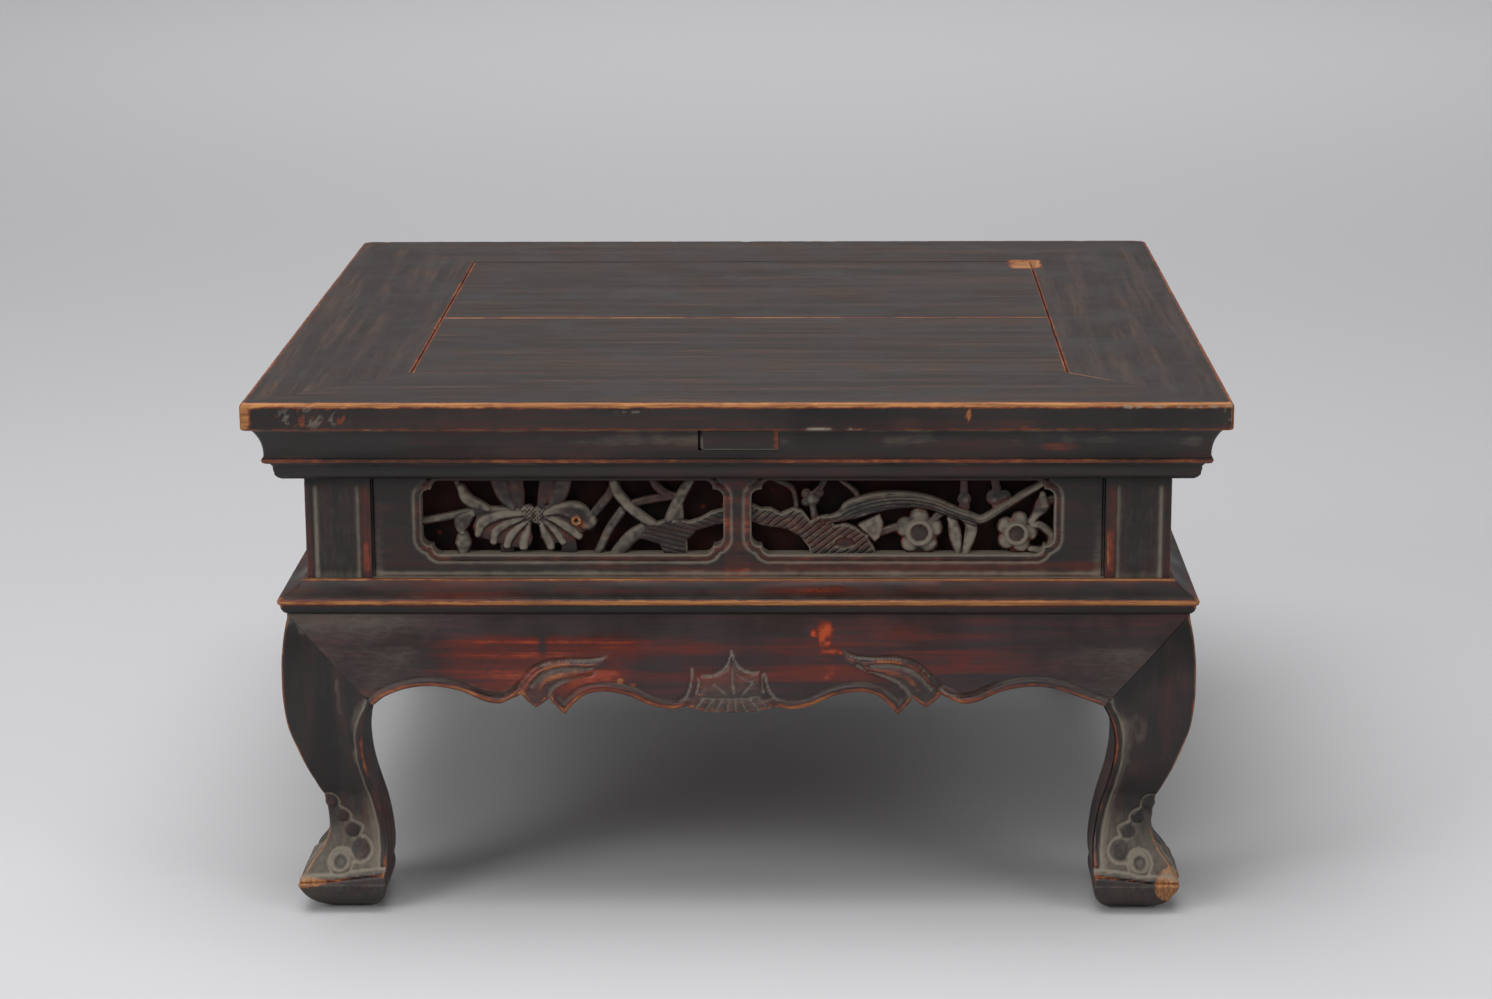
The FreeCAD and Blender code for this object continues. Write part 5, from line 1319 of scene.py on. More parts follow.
# %% [markdown]
# ## Waist posts
# The leg goes on above the shoulder as a square post, which the waist panels are let into. Its two
# faces are sunk a little inside a raised border. The post is skinned like the leg and joins its
# mesh, because both are one piece of wood.

# %% Shape of a post
heights = np.concatenate([[APRON_TOP], np.arange(LEDGE - 3, FRAME_BASE - 3, 1.4), [FRAME_BASE]])
ring = [(-POST_FACE, -POST_FACE), (-POST_IN, -POST_FACE), (-POST_IN, -POST_IN), (-POST_FACE, -POST_IN)]
post, places, segment, i, j = skin([[(x, y, z) for x, y in ring] for z in heights], (40, 4, 4, 40))
x, y, z = places.T.copy()
front, side_face = segment == 0, segment == 3
shown = front | side_face | (i == 0)
across = np.where(side_face, y, x)
outer, inner = across + POST_FACE, -POST_IN - across
field = ramp(outer, 5.2, 6.8) * ramp(inner, 7.4, 8.8)
slide, sink = end_rounding(outer, 2.2)
slide_in, sink_in = end_rounding(inner, 1.2)
depth = sink + sink_in + 1.4 * field + wander(places, 15, 81) * 0.12
x2, y2 = bent(x, y, i, front, side_face, slide - slide_in, depth)
move_to(post, np.stack([x2, y2, z], axis=1))
print("post skin", len(post.verts), "places")

# %% Colours of a post
rough = wander(places, 12, 82) * 0.25 + wander(places, 4, 83) * 0.2
# Dust and red fade out near the top frame, and its shadow is painted there as soot.
shade = ramp(z, FRAME_BASE - 4, FRAME_BASE - 12)
low = ramp(z, LEDGE + 7, LEDGE)
dust = 0.6 * blob(outer, 7.6, 1.7) + 0.42 * blob(inner, 9.4, 1.5) + 0.14 * field + 0.3 * low * field
dust = np.clip(dust * shade + rough * 0.2 * field, 0, 1) * shown
dust -= 0.9 * ramp(z, FRAME_BASE - 9, FRAME_BASE - 4)    # painted shadow of the top frame, as soot
streak_end = np.where(side_face, LEDGE + 31, LEDGE + 24)
streak = ramp(z, LEDGE + 2, LEDGE + 8) * ramp(z, streak_end + 6, streak_end)
crest = blob(inner, np.where(side_face, 2.6, 4.2), 1.2)
wear = 0.68 * crest * streak * np.where(side_face, 1, 0.62) + 0.3 * blob(outer, 0, 1)
rub = 0.5 * (1 - field) * (0.8 + rough) + 0.6 * blob(inner, 4, 2.6) * streak
rub = np.clip(rub + 0.25 * rough, 0, 1) * shown * (0.3 + 0.7 * shade)
set_layers(post, wear=np.clip(wear, 0, 1) * shown, dust=dust, rub=rub)
weld_and_cap(post)
whole = bpy.data.meshes.new("post")
post.to_mesh(whole)
bm.from_mesh(whole)
print("leg with post", len(bm.faces), "faces")

# %% The four legs
TOE_MIDDLE, TOE_SIZE = (-318, -318, 22), (21, 15, 15)
knocked = ramp(1 - np.linalg.norm((coordinates(bm) - TOE_MIDDLE) / TOE_SIZE, axis=1), 0, 0.3)
wear_layer = bm.verts.layers.float["wear"]


def knock_toe(amount):
    """Wears the toe down and bare; a negative amount brings it back for the next leg."""
    for vert, share in zip(bm.verts, knocked):
        vert[wear_layer] += 2 * amount * float(share)
        vert.co += Vector((1, 1, 0)) * (1.6 * amount * share)


for corner, turns in CORNERS:
    # The right front toe lost its lacquer and some wood to knocks; the other three kept theirs.
    knock_toe(corner == "front_right")
    finish_piece(f"{corner}_leg", bm, dark_lacquer["z"], turns, keep=True)
    knock_toe(-(corner == "front_right"))
    print(corner, "leg made")

# %% [markdown]
# ## Waist panels
# Between the posts stands a thin panel with two cartouches. Their openings have cusped corners
# and a raised bead round them. A fine grid loses its cells inside the openings, and the vertices
# left on their rims slide onto the exact outline, as a fret sawyer follows a line.

# %% Openings of the waist
OPENING = (218, 55)
OPENING_LOW = LEDGE + 16
LEFTS = (-228, 10)
CUSP = (15, 13)


def cartouche(left):
    """Closed outline of an opening with two small arcs at each corner."""
    half_x, half_z = OPENING[0] / 2, OPENING[1] / 2
    wide, tall = CUSP
    quarter = [(half_x, half_z - tall)]
    quarter += arc(quarter[0], (half_x - wide / 2, half_z - tall / 2), -0.25, 6)
    quarter += arc(quarter[-1], (half_x - wide, half_z), -0.25, 6)
    quarter = np.array(quarter)
    whole = [quarter, (quarter * (-1, 1))[::-1], quarter * (-1, -1), (quarter * (1, -1))[::-1]]
    return np.vstack(whole) + (left + half_x, OPENING_LOW + half_z)


# %% A grid cut to a line
def cut_grid(xs, zs, gap_of):
    """Grid without its cells where gap_of is above zero, its rims slid onto that line."""
    bm, i, j = grid_of(xs, zs)
    move_to(bm, np.stack([xs[i], zs[j], np.zeros(len(i))], axis=1))
    centres = np.array([face.calc_center_median()[:2] for face in bm.faces])
    gone = gap_of(centres) > 0
    bmesh.ops.delete(bm, geom=[face for face, out in zip(bm.faces, gone) if out], context="FACES")
    step = min(xs[1] - xs[0], zs[1] - zs[0])
    pinched = [vert for vert in bm.verts if sum(edge.is_boundary for edge in vert.link_edges) > 2]
    loose = {face for vert in pinched for face in list(vert.link_faces)[:1]}
    bmesh.ops.delete(bm, geom=list(loose), context="FACES")
    limits = (xs[0], xs[-1], zs[0], zs[-1])
    rim = [vert for vert in bm.verts if vert.is_boundary
           and min(abs(vert.co.x - limits[0]), abs(vert.co.x - limits[1]),
                   abs(vert.co.y - limits[2]), abs(vert.co.y - limits[3])) > 0.01]
    for _ in range(3):
        places = np.array([vert.co[:2] for vert in rim])
        gap = gap_of(places)
        slope = np.stack([gap_of(places + (0.05, 0)) - gap, gap_of(places + (0, 0.05)) - gap], axis=1) / 0.05
        length = np.maximum(np.hypot(*slope.T), 0.2)
        move = -slope / length[:, None] ** 2 * gap[:, None]
        size = np.maximum(np.hypot(*move.T), 1e-6)
        move *= np.minimum(1, 0.35 * step / size)[:, None]
        for vert, shift in zip(rim, move):
            vert.co.x += shift[0]
            vert.co.y += shift[1]
    return bm


def upright(bm, face):
    """Stands a grid up: its second axis becomes height, with the face at some Y for each vertex."""
    for vert, y in zip(bm.verts, face):
        vert.co = (vert.co.x, y, vert.co.y)


# %% Shape of a waist panel
outlines = [cartouche(left) for left in LEFTS]


def into_openings(places):
    """Depth inside the nearer opening, minus on the wood."""
    return -np.minimum(*[signed_distance(places, outline) for outline in outlines])


xs = np.linspace(-POST_IN + 0.15, POST_IN - 0.15, 529)
zs = np.linspace(LEDGE, FRAME_BASE, 78)
bm = cut_grid(xs, zs, into_openings)
flat = coordinates(bm)[:, :2]
x, z = flat.T
gap, margin = -into_openings(flat), POST_IN - abs(x)
solid = np.stack([x, np.zeros(len(x)), z], axis=1)
rough = wander(solid, 18, 91) * 0.25 + wander(solid, 4.5, 92) * 0.2
bead = np.sqrt(np.clip(1 - ((gap - 2.3) / 2.5) ** 2, 0, 1))
relief = np.where(gap < 4.8, 1.5 * bead - 1.2, 0) - 1.0 * blob(gap, 5.4, 0.8)
relief = np.minimum(relief - 1.6 * ramp(margin, 2.4, 1.2), 0.4)
upright(bm, -PANEL_FACE - relief + rough * 0.15)
print("panel grid", len(bm.faces), "faces")

# %% Colours of a waist panel
# Dust lies on the ledge, behind the beads and on the sills; the top frame's shadow is painted on as soot,
# and dust fades out under it.
shade = ramp(z, FRAME_BASE - 4, FRAME_BASE - 14)
dust = 0.6 * blob(z, LEDGE + 2.2, 1.5) + 0.3 * ramp(margin, 12, 3) * ramp(z, LEDGE + 70, LEDGE + 20)
dust += 0.13 * ramp(z, LEDGE + 10, LEDGE + 2) * (0.9 + rough)
dust += 0.6 * blob(gap, 5.6, 1.3) + (0.6 + 0.2 * (x > 0)) * blob(gap, 0.3, 0.9)
dust = most(dust, 0.95 * (z < OPENING_LOW + 3) * blob(gap, 0, 1))
dust = (dust + rough * 0.24 * (dust > 0.1) + 0.07) * (0.15 + 0.85 * shade)
dust = np.clip(dust, 0, 1) - 0.9 * ramp(z, FRAME_BASE - 9, FRAME_BASE - 4)
wear = 0.2 * blob(gap, 2.2, 1.8) + rough * 0.25 * (gap < 6) * shade
between = abs(x + 0.5) < 9
rub = 0.4 * (gap < 5.2) + 0.5 * (z < OPENING_LOW - 6) * ramp(x, -180, -60) + 0.4 * between + rough * 0.5
set_layers(bm, wear=np.clip(wear, 0, 1), dust=dust, rub=np.clip(rub, 0, 1))
close_behind(bm, -PANEL_FACE + 14)
for side, turns in SIDES:
    finish_piece(f"{side}_waist_panel", bm, dark_lacquer[axis_of(turns)], turns, keep=True)
print("panel faces", len(bm.faces))

# %% [markdown]
# ## Openwork of the cartouches
# The fret was sawn first and then modelled with gouges: broad parts stand forward, stems dive
# behind them, and each part is domed towards its middle. Here every part is a line with a width,
# a disc or an outline. The distance to their common edge cuts the grid, and each part's own
# distance lifts its dome. The highest part wins, so they overlap as on the wood.
# Places are written in thousandths of the opening's width and height, from its lower left corner,
# and half widths and radii in thousandths of its height.

# %% The left opening: a flower head with long petals, stems and a rock
# A stroke is (level, dome, places), each place (across, up, half width). A disc is (level, dome,
# across, up, radius), and a patch is (level, dome, outline). Level and dome are in millimetres.
LEFT_STROKES = (
    (1.2, 1, ((-20, 410, 50), (80, 475, 50), (170, 550, 50), (240, 570, 50), (320, 550, 50))),
    (1.7, 1.2, ((130, 880, 50), (142, 770, 75), (158, 690, 80), (190, 630, 70), (215, 590, 50))),
    (0.9, 0.8, ((112, 1040, 35), (118, 930, 40), (130, 860, 40))),
    (1.9, 1.1, ((165, 520, 50), (135, 420, 110), (130, 330, 80), (132, 280, 40))),
    (1.5, 1.1, ((132, 310, 50), (135, 150, 110), (135, 30, 80), (135, -50, 60))),
    (1.3, 1.3, ((305, 580, 50), (275, 780, 110), (250, 1060, 120))),
    (0.9, 1.1, ((330, 580, 40), (318, 800, 90), (310, 1060, 90))),
    (0.9, 1.1, ((390, 580, 40), (408, 800, 90), (418, 1060, 90))),
    (1.3, 1.3, ((420, 560, 50), (455, 780, 110), (475, 1060, 120))),
    (2.2, 1.4, ((340, 530, 40), (260, 500, 65), (200, 400, 75), (185, 250, 50))),
    (2, 1.4, ((345, 480, 40), (290, 400, 55), (245, 280, 65), (235, 150, 50))),
    (2.2, 1.4, ((350, 430, 30), (315, 320, 50), (290, 200, 60), (280, 100, 50))),
    (2, 1.4, ((355, 400, 30), (345, 270, 55), (335, 170, 70), (335, 80, 60))),
    (2.2, 1.4, ((395, 420, 30), (405, 280, 55), (420, 160, 70), (425, 80, 55))),
    (2, 1.4, ((400, 450, 30), (430, 340, 50), (450, 240, 60), (465, 150, 50))),
    (2.2, 1.4, ((405, 500, 30), (450, 420, 55), (490, 320, 65), (520, 220, 50))),
    (2.5, 1.5, ((410, 530, 40), (455, 585, 80), (510, 550, 130), (548, 420, 120))),
    (0.4, 0.6, ((280, 120, 90), (280, 30, 85), (280, -60, 85))),
    (0.4, 0.6, ((487, 180, 80), (486, 50, 100), (485, -60, 100))),
    (1.2, 1, ((572, -50, 60), (584, 10, 60), (618, 300, 60), (662, 550, 60))),
    (1, 1, ((571, 530, 55), (600, 670, 60), (623, 800, 60), (645, 1050, 55))),
    (1.6, 1.2, ((640, -50, 90), (656, 30, 95), (695, 210, 90), (750, 330, 80), (790, 330, 60))),
    (2.2, 1.2, ((630, 1050, 50), (650, 800, 65), (700, 570, 65), (773, 350, 60))),
    (0.8, 0.8, ((700, 660, 45), (770, 720, 50), (840, 760, 45))),
    (0.8, 0.8, ((762, 1050, 50), (775, 910, 55), (806, 800, 50), (850, 740, 45))),
    (1.7, 1, ((815, 420, 60), (835, 580, 70), (861, 780, 70), (900, 1050, 60))),
    (1.1, 0.8, ((850, 420, 70), (857, 530, 50), (864, 630, 15))),
)
LEFT_DISCS = ((2, 0.9, 352, 530, 110), (2, 0.9, 385, 500, 110), (2.9, 0.3, 512, 447, 55))
LEFT_PATCHES = (
    (1.9, 1, ((745, 370), (800, 430), (850, 440), (885, 420), (920, 460), (960, 550), (1030, 620),
     (1030, 420), (965, 370), (910, 300), (878, 160), (880, -60), (810, -60), (785, 120), (745, 170),
     (720, 200))),
    (0.9, 0.7, ((180, 510), (166, 350), (175, 215), (208, 180), (252, 124), (302, 56), (357, 90),
     (366, 190), (357, 370), (335, 485), (307, 553), (224, 564))),
    (0.9, 0.7, ((380, 620), (460, 660), (540, 600), (585, 420), (540, 280), (430, 100), (390, 200),
     (400, 400))),
)
print("parts on the left", len(LEFT_STROKES) + len(LEFT_DISCS) + len(LEFT_PATCHES))

# %% The right opening: rocks, a bough, buds and two blossoms
RIGHT_STROKES = (
    (0.7, 0.8, ((76, 1050, 30), (80, 980, 32), (130, 880, 35), (145, 750, 35), (150, 560, 35))),
    (1.9, 1.3, ((225, 420, 50), (290, 480, 65), (335, 580, 130), (420, 680, 130), (520, 710, 105),
     (605, 650, 90), (660, 560, 80), (720, 480, 65), (765, 440, 55), (824, 585, 55), (900, 780, 50),
     (955, 920, 45), (985, 1050, 45))),
    (0.9, 0.9, ((288, 1050, 30), (296, 970, 30), (325, 880, 32), (349, 780, 40), (355, 660, 40))),
    (0.9, 0.8, ((415, 270, 50), (431, 275, 50), (472, 323, 50), (500, 340, 50))),
    (1.4, 1.1, ((655, 470, 40), (668, 380, 75), (676, 200, 85), (683, 50, 60), (687, -50, 50))),
    (1.9, 1, ((700, 460, 40), (727, 370, 75), (722, 200, 70), (712, 50, 50), (708, -50, 45))),
    (0.7, 0.8, ((700, 1050, 50), (702, 900, 50), (704, 700, 60), (702, 550, 60))),
    (0.7, 0.8, ((800, 1050, 50), (808, 900, 55), (815, 750, 60))),
    (1.3, 1, ((963, 780, 50), (962, 640, 100), (940, 500, 60), (925, 420, 50))),
    (0.7, 0.7, ((960, 660, 50), (990, 700, 50), (1030, 740, 50))),
    (1.2, 0.9, ((930, 380, 50), (960, 350, 55), (990, 240, 55), (990, 120, 50), (965, 30, 45),
     (925, 40, 45))),
    (0.4, 0.6, ((556, 100, 80), (556, 0, 80), (556, -50, 90))),
    (0.4, 0.6, ((877, 60, 80), (877, 0, 80), (877, -50, 90))),
    (0.9, 0.9, ((600, 420, 50), (620, 500, 50), (640, 560, 50))),
    (0.8, 0.8, ((200, 680, 50), (205, 580, 45), (210, 460, 50))),
    (0.6, 0.8, ((220, 840, 35), (235, 920, 40), (245, 1050, 45))),
)
BLOSSOMS = ((556, 275, 326, 0), (877, 263, 290, 14))    # across, up, radius, turn in degrees
PETALS = [(1.3, 1.3, x + 0.56 * size * math.sin(math.radians(72 * k + turn)) * OPENING[1] / OPENING[0],
           z + 0.56 * size * math.cos(math.radians(72 * k + turn)), 0.42 * size)
          for x, z, size, turn in BLOSSOMS for k in range(5)]
RIGHT_DISCS = (
    (1.1, 1, 202, 730, 100), (0.8, 1, 222, 810, 70), (0.8, 1, 182, 790, 70), (0.8, 1, 180, 680, 60),
    (0.9, 1, 704, 720, 90), (0.7, 1, 704, 620, 70), (1, 1, 800, 740, 100), (0.8, 1, 835, 750, 90),
    (0.7, 1, 815, 640, 80), *PETALS, *[(1.6, 0.5, x, z, 0.36 * size) for x, z, size, _ in BLOSSOMS],
)
RIGHT_PATCHES = (
    (1.9, 0.9, ((-20, 650), (6, 646), (32, 600), (65, 600), (97, 526), (138, 600), (167, 574), (196, 430),
     (226, 490), (255, 500), (276, 370), (270, 200), (265, -60), (200, -60), (190, 84), (161, 227),
     (120, 323), (38, 370), (6, 420), (-20, 430))),
    (1.6, 1.2, ((250, 370), (276, 370), (308, 395), (349, 335), (384, 227), (410, 36), (412, -60),
     (240, -60))),
    (1.3, 1, ((350, 370), (380, 430), (425, 520), (437, 420), (437, 300), (425, 200), (408, 140),
     (385, 220))),
)
print("parts on the right", len(RIGHT_STROKES) + len(RIGHT_DISCS) + len(RIGHT_PATCHES))


# %% Height and edge of the openwork
def place_in(left, points):
    """Thousandths of an opening as places in millimetres."""
    shares = np.array([point[:2] for point in points]) / 1000
    return shares * OPENING + (left, OPENING_LOW)


def parts_at(places, left, strokes, discs, patches):
    """For each part in turn, its gap from some places, its half width, its level and its dome."""
    for level, dome, points in strokes:
        widths = sprung([(p[2] / 1000 * OPENING[1], 0) for p in points], 5)[:, 0]
        gap, along = nearest(places, sprung(place_in(left, points), 5))
        width = np.interp(along, np.linspace(0, 1, len(widths)), widths)
        yield gap - width, width, level, dome
    for level, dome, across, up, radius in discs:
        size = radius / 1000 * OPENING[1]
        yield np.hypot(*(places - place_in(left, [(across, up)])).T) - size, size, level, dome
    for level, dome, outline in patches:
        yield signed_distance(places, place_in(left, outline)), 3, level, dome


def openwork_height(places, left, data):
    """The front surface of the carving above its deepest level, and the gap to its edge."""
    height, shallow = np.zeros(len(places)), np.full(len(places), np.inf)
    for gap, width, level, dome in parts_at(places, left, *data):
        depth = np.clip(-gap / width, 0, 1)
        part = level + dome * (np.sqrt(1 - (1 - depth) ** 2) - 1) - np.where(gap > 0, gap * 2, 0)
        height = np.where(gap < 0.35, np.maximum(height, part), height)
        shallow = np.minimum(shallow, gap)
    return height, shallow


def relaxed(bm, values, rounds):
    """Values of a mesh's vertices, each replaced by its neighbours' mean again and again."""
    bm.verts.index_update()
    first, last = np.array([[vert.index for vert in edge.verts] for edge in bm.edges]).T
    size = len(values)
    count = np.bincount(first, minlength=size) + np.bincount(last, minlength=size)
    for _ in range(rounds):
        total = np.bincount(first, values[last], size) + np.bincount(last, values[first], size)
        values = total / np.maximum(count, 1)
    return values


# %% Chisel work on the blossoms
def with_blossoms(flat, height):
    """Height with a raised heart in each blossom; also the shares of heart, ring and petals."""
    heart = ring = petals = np.zeros(len(flat))
    for across, up, size, _ in BLOSSOMS:
        out = np.hypot(*(flat - place_in(LEFTS[1], [(across, up)])).T) / (size / 1000 * OPENING[1])
        height = np.where(out < 0.55, 1.9 + 0.9 * blob(out, 0.45, 0.09), height)
        height = np.where(out < 0.36, 1.6 + 0.5 * np.clip(1 - (out / 0.36) ** 2, 0, 1), height)
        heart, ring = most(heart, out < 0.34), most(ring, blob(out, 0.5, 0.13))
        petals = most(petals, ramp(out, 1.05, 0.9))
    return height, heart, ring, petals


# %% Chisel work on the rocks, the bough and the flower head
ROCKS = [place_in(LEFTS[1], RIGHT_PATCHES[k][2]) for k in (0, 1)]
LEFT_ROCK = place_in(LEFTS[0], LEFT_PATCHES[0][2])
BOUGH = sprung(place_in(LEFTS[1], RIGHT_STROKES[1][2]), 5)
KNOT, HEAD = place_in(LEFTS[0], ((512, 447), (368, 515)))
HOLLOW = place_in(LEFTS[1], ((308, 130),))[0]


def chisel_marks(flat):
    """Shares of cut lines, of level cuts, of scales, of strands, and of rock and bough."""
    x, z = flat.T
    hatched, level_rock = (np.min([signed_distance(flat, rock) for rock in rocks], axis=0)
                           for rocks in (ROCKS, [LEFT_ROCK]))
    slanted = np.sin((x * 0.62 - z * 0.78) * 2 * math.pi / 4.2 + wander(np.stack([x, z, z], axis=1), 9, 97))
    cuts = ramp(slanted, 0.45, 0.95) * ramp(hatched, -0.8, -2.2)
    level_cuts = ramp(np.sin((z + 0.25 * x) * 2 * math.pi / 3.6), 0.4, 0.95) * ramp(level_rock, -0.6, -1.8)
    from_bough, along = nearest(flat, BOUGH)
    branch = ramp(from_bough, 5.5, 4.5) * ramp(along, 0.95, 0.8)
    strands = ramp(np.sin(from_bough * 2 * math.pi / 2.4 + 3 * along), 0.3, 0.9) * branch
    scales = ramp(np.sin(x * 2.1) * np.sin(z * 2.1), 0.2, 0.6) * (np.hypot(*(flat - HEAD).T) < 8.5)
    return cuts, level_cuts, scales, strands, branch, ramp(np.minimum(hatched, level_rock), 1, -1)


# %% Both openings
DUSTY = dict(left=1.05, right=1.6)    # the right opening kept more dust than the left
OPENWORK_FLOOR, OPENWORK_BACK = -300.1, -295.5
RELIEF_SCALE = 1.72    # the carving is this much deeper than its parts' levels
for part, left, data in (("left", LEFTS[0], (LEFT_STROKES, LEFT_DISCS, LEFT_PATCHES)),
                         ("right", LEFTS[1], (RIGHT_STROKES, RIGHT_DISCS, RIGHT_PATCHES))):
    xs = np.linspace(left - 1.5, left + OPENING[0] + 1.5, 341)
    zs = np.linspace(OPENING_LOW - 1.5, OPENING_LOW + OPENING[1] + 1.5, 90)
    bm = cut_grid(xs, zs, lambda places: np.min([gap for gap, *_ in parts_at(places, left, *data)], axis=0))
    flat = coordinates(bm)[:, :2]
    x, z = flat.T
    height, gap = openwork_height(flat, left, data)
    height, heart, ring, petals = with_blossoms(flat, height)
    eye = np.hypot(*(flat - KNOT).T)
    height = np.where(eye < 3.8, 3.1, height) - 2.2 * blob(eye, 0, 1.2)
    height -= 1.6 * ramp(1 - np.hypot((x - HOLLOW[0]) / 7.5, (z - HOLLOW[1]) / 4.2), 0, 0.3)
    cuts, level_cuts, scales, strands, branch, rocky = chisel_marks(flat)
    height -= 0.55 * cuts + 0.4 * level_cuts + 0.5 * scales + 0.35 * strands
    solid = np.stack([x, np.zeros(len(x)), z], axis=1)
    rough = wander(solid, 10, 95) * 0.22 + wander(solid, 3.5, 96) * 0.2
    height = np.clip(height + rough * 0.35, 0, 3.3)
    ridge, crest = ramp(height, 1.3, 2.4), height - relaxed(bm, height, 14)
    upright(bm, OPENWORK_FLOOR - RELIEF_SCALE * height)

    # Dust greys the high parts, the rims and the ring in a blossom, but not the cuts or the eye; on the
    # crests and rims it is also a painted highlight, and the top frame's shadow is painted as soot.
    dust = (0.24 + 0.52 * ramp(crest, -0.05, 0.35) + 0.7 * rough + 0.3 * petals) * ramp(height, 0.3, 1.5)
    dust *= (1 - 0.8 * heart) * (1 - 0.6 * most(cuts, scales)) * (1 - 0.7 * rocky) * (1 - 0.6 * branch)
    rim = blob(gap, -0.3, 0.7) * ramp(height, 0.2, 1) * (0.8 + rough) * (0.8 + 0.5 * rocky)
    dust = most(dust, 0.75 * rim * (1 - 0.5 * branch)) * DUSTY[part]
    dust = most(dust, 0.72 * ring * (0.8 + 0.6 * rough)) * (1 - blob(eye, 2.6, 2.2))
    dust -= 0.8 * ramp(z, FRAME_BASE - 9, FRAME_BASE - 4)

    # It lies on what faces up, which also stands for painted light from above, and undersides are painted
    # dark as shade, whatever their depth.
    bm.normal_update()
    normals = np.array([vert.normal for vert in bm.verts])
    up = -normals[:, 2] * np.sign(normals[:, 1].mean())
    dust += 0.5 * ramp(up, 0.15, 0.7) * (1 - heart) - 0.5 * ramp(up, -0.1, -0.6)

    # The ridges are bare, and so are the cuts, some petals and a place beside the eye.
    wear = most(0.28 * ridge * ramp(rough, 0, 0.25) + 0.2 * blob(gap, -0.4, 0.7) * ridge,
                0.36 * cuts * (0.8 + rough), 0.8 * blob(eye, 2.6, 1.5),
                0.5 * petals * blob(gap, -0.8, 0.8) * ramp(wander(solid, 6, 98), 0, 0.4),
                0.46 * spot(x, z, KNOT + (3.5, -3), (9, 6)) * (0.9 + rough))
    # The red comes through in patches, on the bough and on the rocks; the redder hollows and deep parts are
    # painted shade.
    rub = 0.12 + 0.3 * ramp(crest, 0, -0.4) + 0.22 * ramp(1.6 - height, 0, 1) + 0.4 * rough
    rub = most(rub, 0.3 * branch, 0.34 * rocky)
    set_layers(bm, wear=np.clip(wear, 0, 1), dust=np.clip(dust, -1, 1), rub=np.clip(rub, 0, 1))
    close_behind(bm, OPENWORK_BACK)
    for side, turns in SIDES:
        finish_piece(f"{side}_{part}_openwork", bm, dark_lacquer[axis_of(turns)], turns,
                     f"{side}_waist_panel", keep=True)
    print(part, "openwork faces", len(bm.faces))

# %% [markdown]
# ## Boards behind the openwork
# Through every opening of the carving the eye meets a dark red surface, not the daylight under
# the table, so a thin board closes the waist from behind. It was brushed with one coat of red
# lacquer and never polished. A plain box is enough, since only glimpses of it show; its red is
# painted nearly black as the shade behind the fret, and with a few brighter clouds it gives the
# carving its depth.

# %% The red of the backing boards
# One coat, unpolished, painted nearly black as the shade behind the fret, so that only a few brighter spots
# read as red.
backing_red, tree, shader = begin("single coat of red lacquer, unpolished and darkened by smoke", 0.92)
shader.inputs["Specular IOR Level"].default_value = 0.2
place = add(tree, "TexCoord", {}, out="Object")
BRUSH_CLOUD = 35    # mm across a place where the brush left a thicker coat
CLEAN_SPOT = 14    # mm between the brighter red spots
clouds = add(tree, "TexNoise", {}, place, Scale=scale_for(BRUSH_CLOUD), Detail=2, Roughness=0.5)
tone = add(tree, *OVER, add(tree, *SHARE, clouds, 0.35, 0.75),
           linear("#0c0706"), linear("#2a120d"))
spots = add(tree, "TexNoise", {}, place, Scale=scale_for(CLEAN_SPOT), Detail=1, Roughness=0.4)
tone = add(tree, *OVER, add(tree, *SHARE, spots, 0.68, 0.78, 0, 0.7), tone,
           linear("#8a3019"))
tree.links.new(tone, shader.inputs["Base Color"])
print("backing finish", backing_red.name)

# %% The four backing boards
BACKING_LOW, BACKING_HIGH = (-263.9, -293.95, 253.4), (263.9, -288.05, FRAME_BASE - 0.1)
bm = bmesh.new()
bmesh.ops.create_cube(bm, size=1)
for vert in bm.verts:
    vert.co = [low if share < 0 else high for share, low, high in zip(vert.co, BACKING_LOW, BACKING_HIGH)]
for side, turns in SIDES:
    finish_piece(f"{side}_waist_backing", bm, backing_red, turns, keep=True)
print("backing board", BACKING_LOW, BACKING_HIGH)

# %% [markdown]
# ## A plain studio
# The table stands on a pale floor that runs up into a pale backdrop far behind. Big soft lamps
# from the left, the right and above light it, so that a colour renders about as it is written,
# and the camera stands where the photographer stood.

# %% Floor and backdrop in one sweep
bm = bmesh.new()
rim = [bm.edges.new([bm.verts.new((x, -6, 0)) for x in (-9, 9)])]
bend = [(7 + 2 * math.sin(t), 2 - 2 * math.cos(t)) for t in np.linspace(0, math.pi / 2, 13)[1:]]
for y, z in [(7, 0), *bend, (9, 8)]:
    new, rim = extruded(bm, rim)
    for vert in new:
        vert.co.y, vert.co.z = y, z
    rim = [edge for edge in rim if all(vert in new for vert in edge.verts)]
bmesh.ops.recalc_face_normals(bm, faces=bm.faces)
if sum(face.normal.z for face in bm.faces) < 0:
    bmesh.ops.reverse_faces(bm, faces=bm.faces)
mesh = bpy.data.meshes.new("sweep")
bm.to_mesh(mesh)
mesh.shade_smooth()
# Matt paper: no gloss at all, so that it only carries the table's shadow.
paper, _, shader = begin("matt pale paper of the studio", 0.95)
shader.inputs["Base Color"].default_value = linear("#c3c3c5")
mesh.materials.append(paper)
sweep = bpy.data.objects.new("sweep", mesh)
scene.collection.objects.link(sweep)
sweep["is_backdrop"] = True
print("sweep", len(mesh.polygons), "faces")

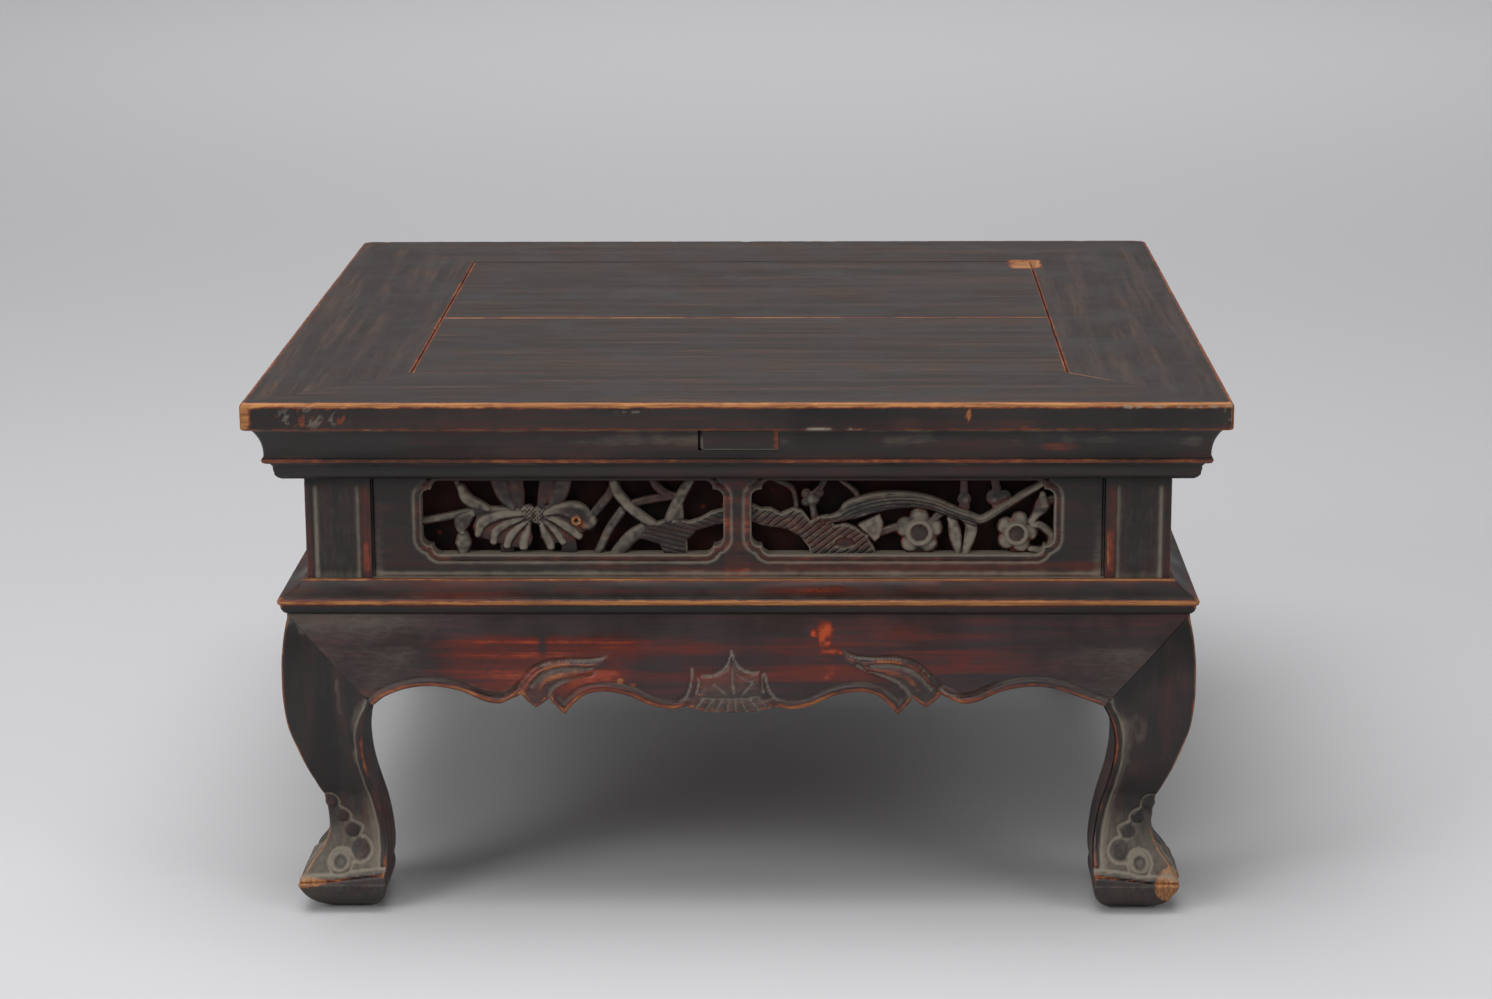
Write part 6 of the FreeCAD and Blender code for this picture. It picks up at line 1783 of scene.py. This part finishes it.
# %% Lamps
# Each soft square lamp: its place, its target, the length of its side, and its watts.
TABLE, BACKDROP = (0, 0, 0.25), (0, 8.5, 2.2)
for name, place, target, size, watts in (
        ("lamp above", (-0.3, -0.5, 3.2), TABLE, 2.6, 105), ("lamp left", (-2.6, -2.6, 2), TABLE, 1.6, 52),
        ("lamp right", (2.8, -2.4, 2), TABLE, 1.8, 26),
        ("lamp on the backdrop", (0, 4.5, 5.5), BACKDROP, 3, 260)):
    light = bpy.data.lights.new(name, "AREA")
    light.shape, light.size, light.energy = "SQUARE", size, watts
    lamp = bpy.data.objects.new(name, light)
    lamp.location = place
    lamp.rotation_euler = (Vector(target) - Vector(place)).to_track_quat("-Z", "Y").to_euler()
    scene.collection.objects.link(lamp)
    lamp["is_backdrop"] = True
    print(name, watts, "W")
world = bpy.data.worlds.new("soft room light")
scene.world = world
world.use_nodes = True
room = world.node_tree.nodes["Background"]
room.inputs["Color"].default_value = linear("#ffffff")
room.inputs["Strength"].default_value = 0.2

# %% The photographer's camera
# Fitted to the corners of the top, the waist and the feet in the photograph; angles in radians.
PITCH, YAW, ROLL = 0.2367, -0.0221, 0.0054
CAMERA_PLACE = (0.06073, -2.76795, 0.90404)
camera = bpy.data.objects.new("camera", bpy.data.cameras.new("camera"))
camera.data.lens = 84.97
camera.data.sensor_width = 36.0
camera.data.sensor_fit = "HORIZONTAL"
ahead = Vector((math.sin(YAW) * math.cos(PITCH), math.cos(YAW) * math.cos(PITCH), -math.sin(PITCH)))
level = Vector((math.cos(YAW), -math.sin(YAW), 0))
below = ahead.cross(level)
across = math.cos(ROLL) * level + math.sin(ROLL) * below
down = math.cos(ROLL) * below - math.sin(ROLL) * level
turn = Matrix((across, -down, -ahead)).transposed().to_4x4()
camera.matrix_world = Matrix.Translation(CAMERA_PLACE) @ turn
scene.collection.objects.link(camera)
scene.camera = camera
print("camera looks down by", round(math.degrees(PITCH), 1), "degrees")

# %% Sizes side by side
low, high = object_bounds()
{"cad": [list(cad_low), list(cad_high)], "scene": [list(low), list(high)]}
print("scene box", [round(x, 4) for x in (*low, *high)])
triangles = sum(len(face.vertices) - 2 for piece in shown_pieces() if piece.type == "MESH"
                for face in piece.data.polygons)
print("triangles", triangles)
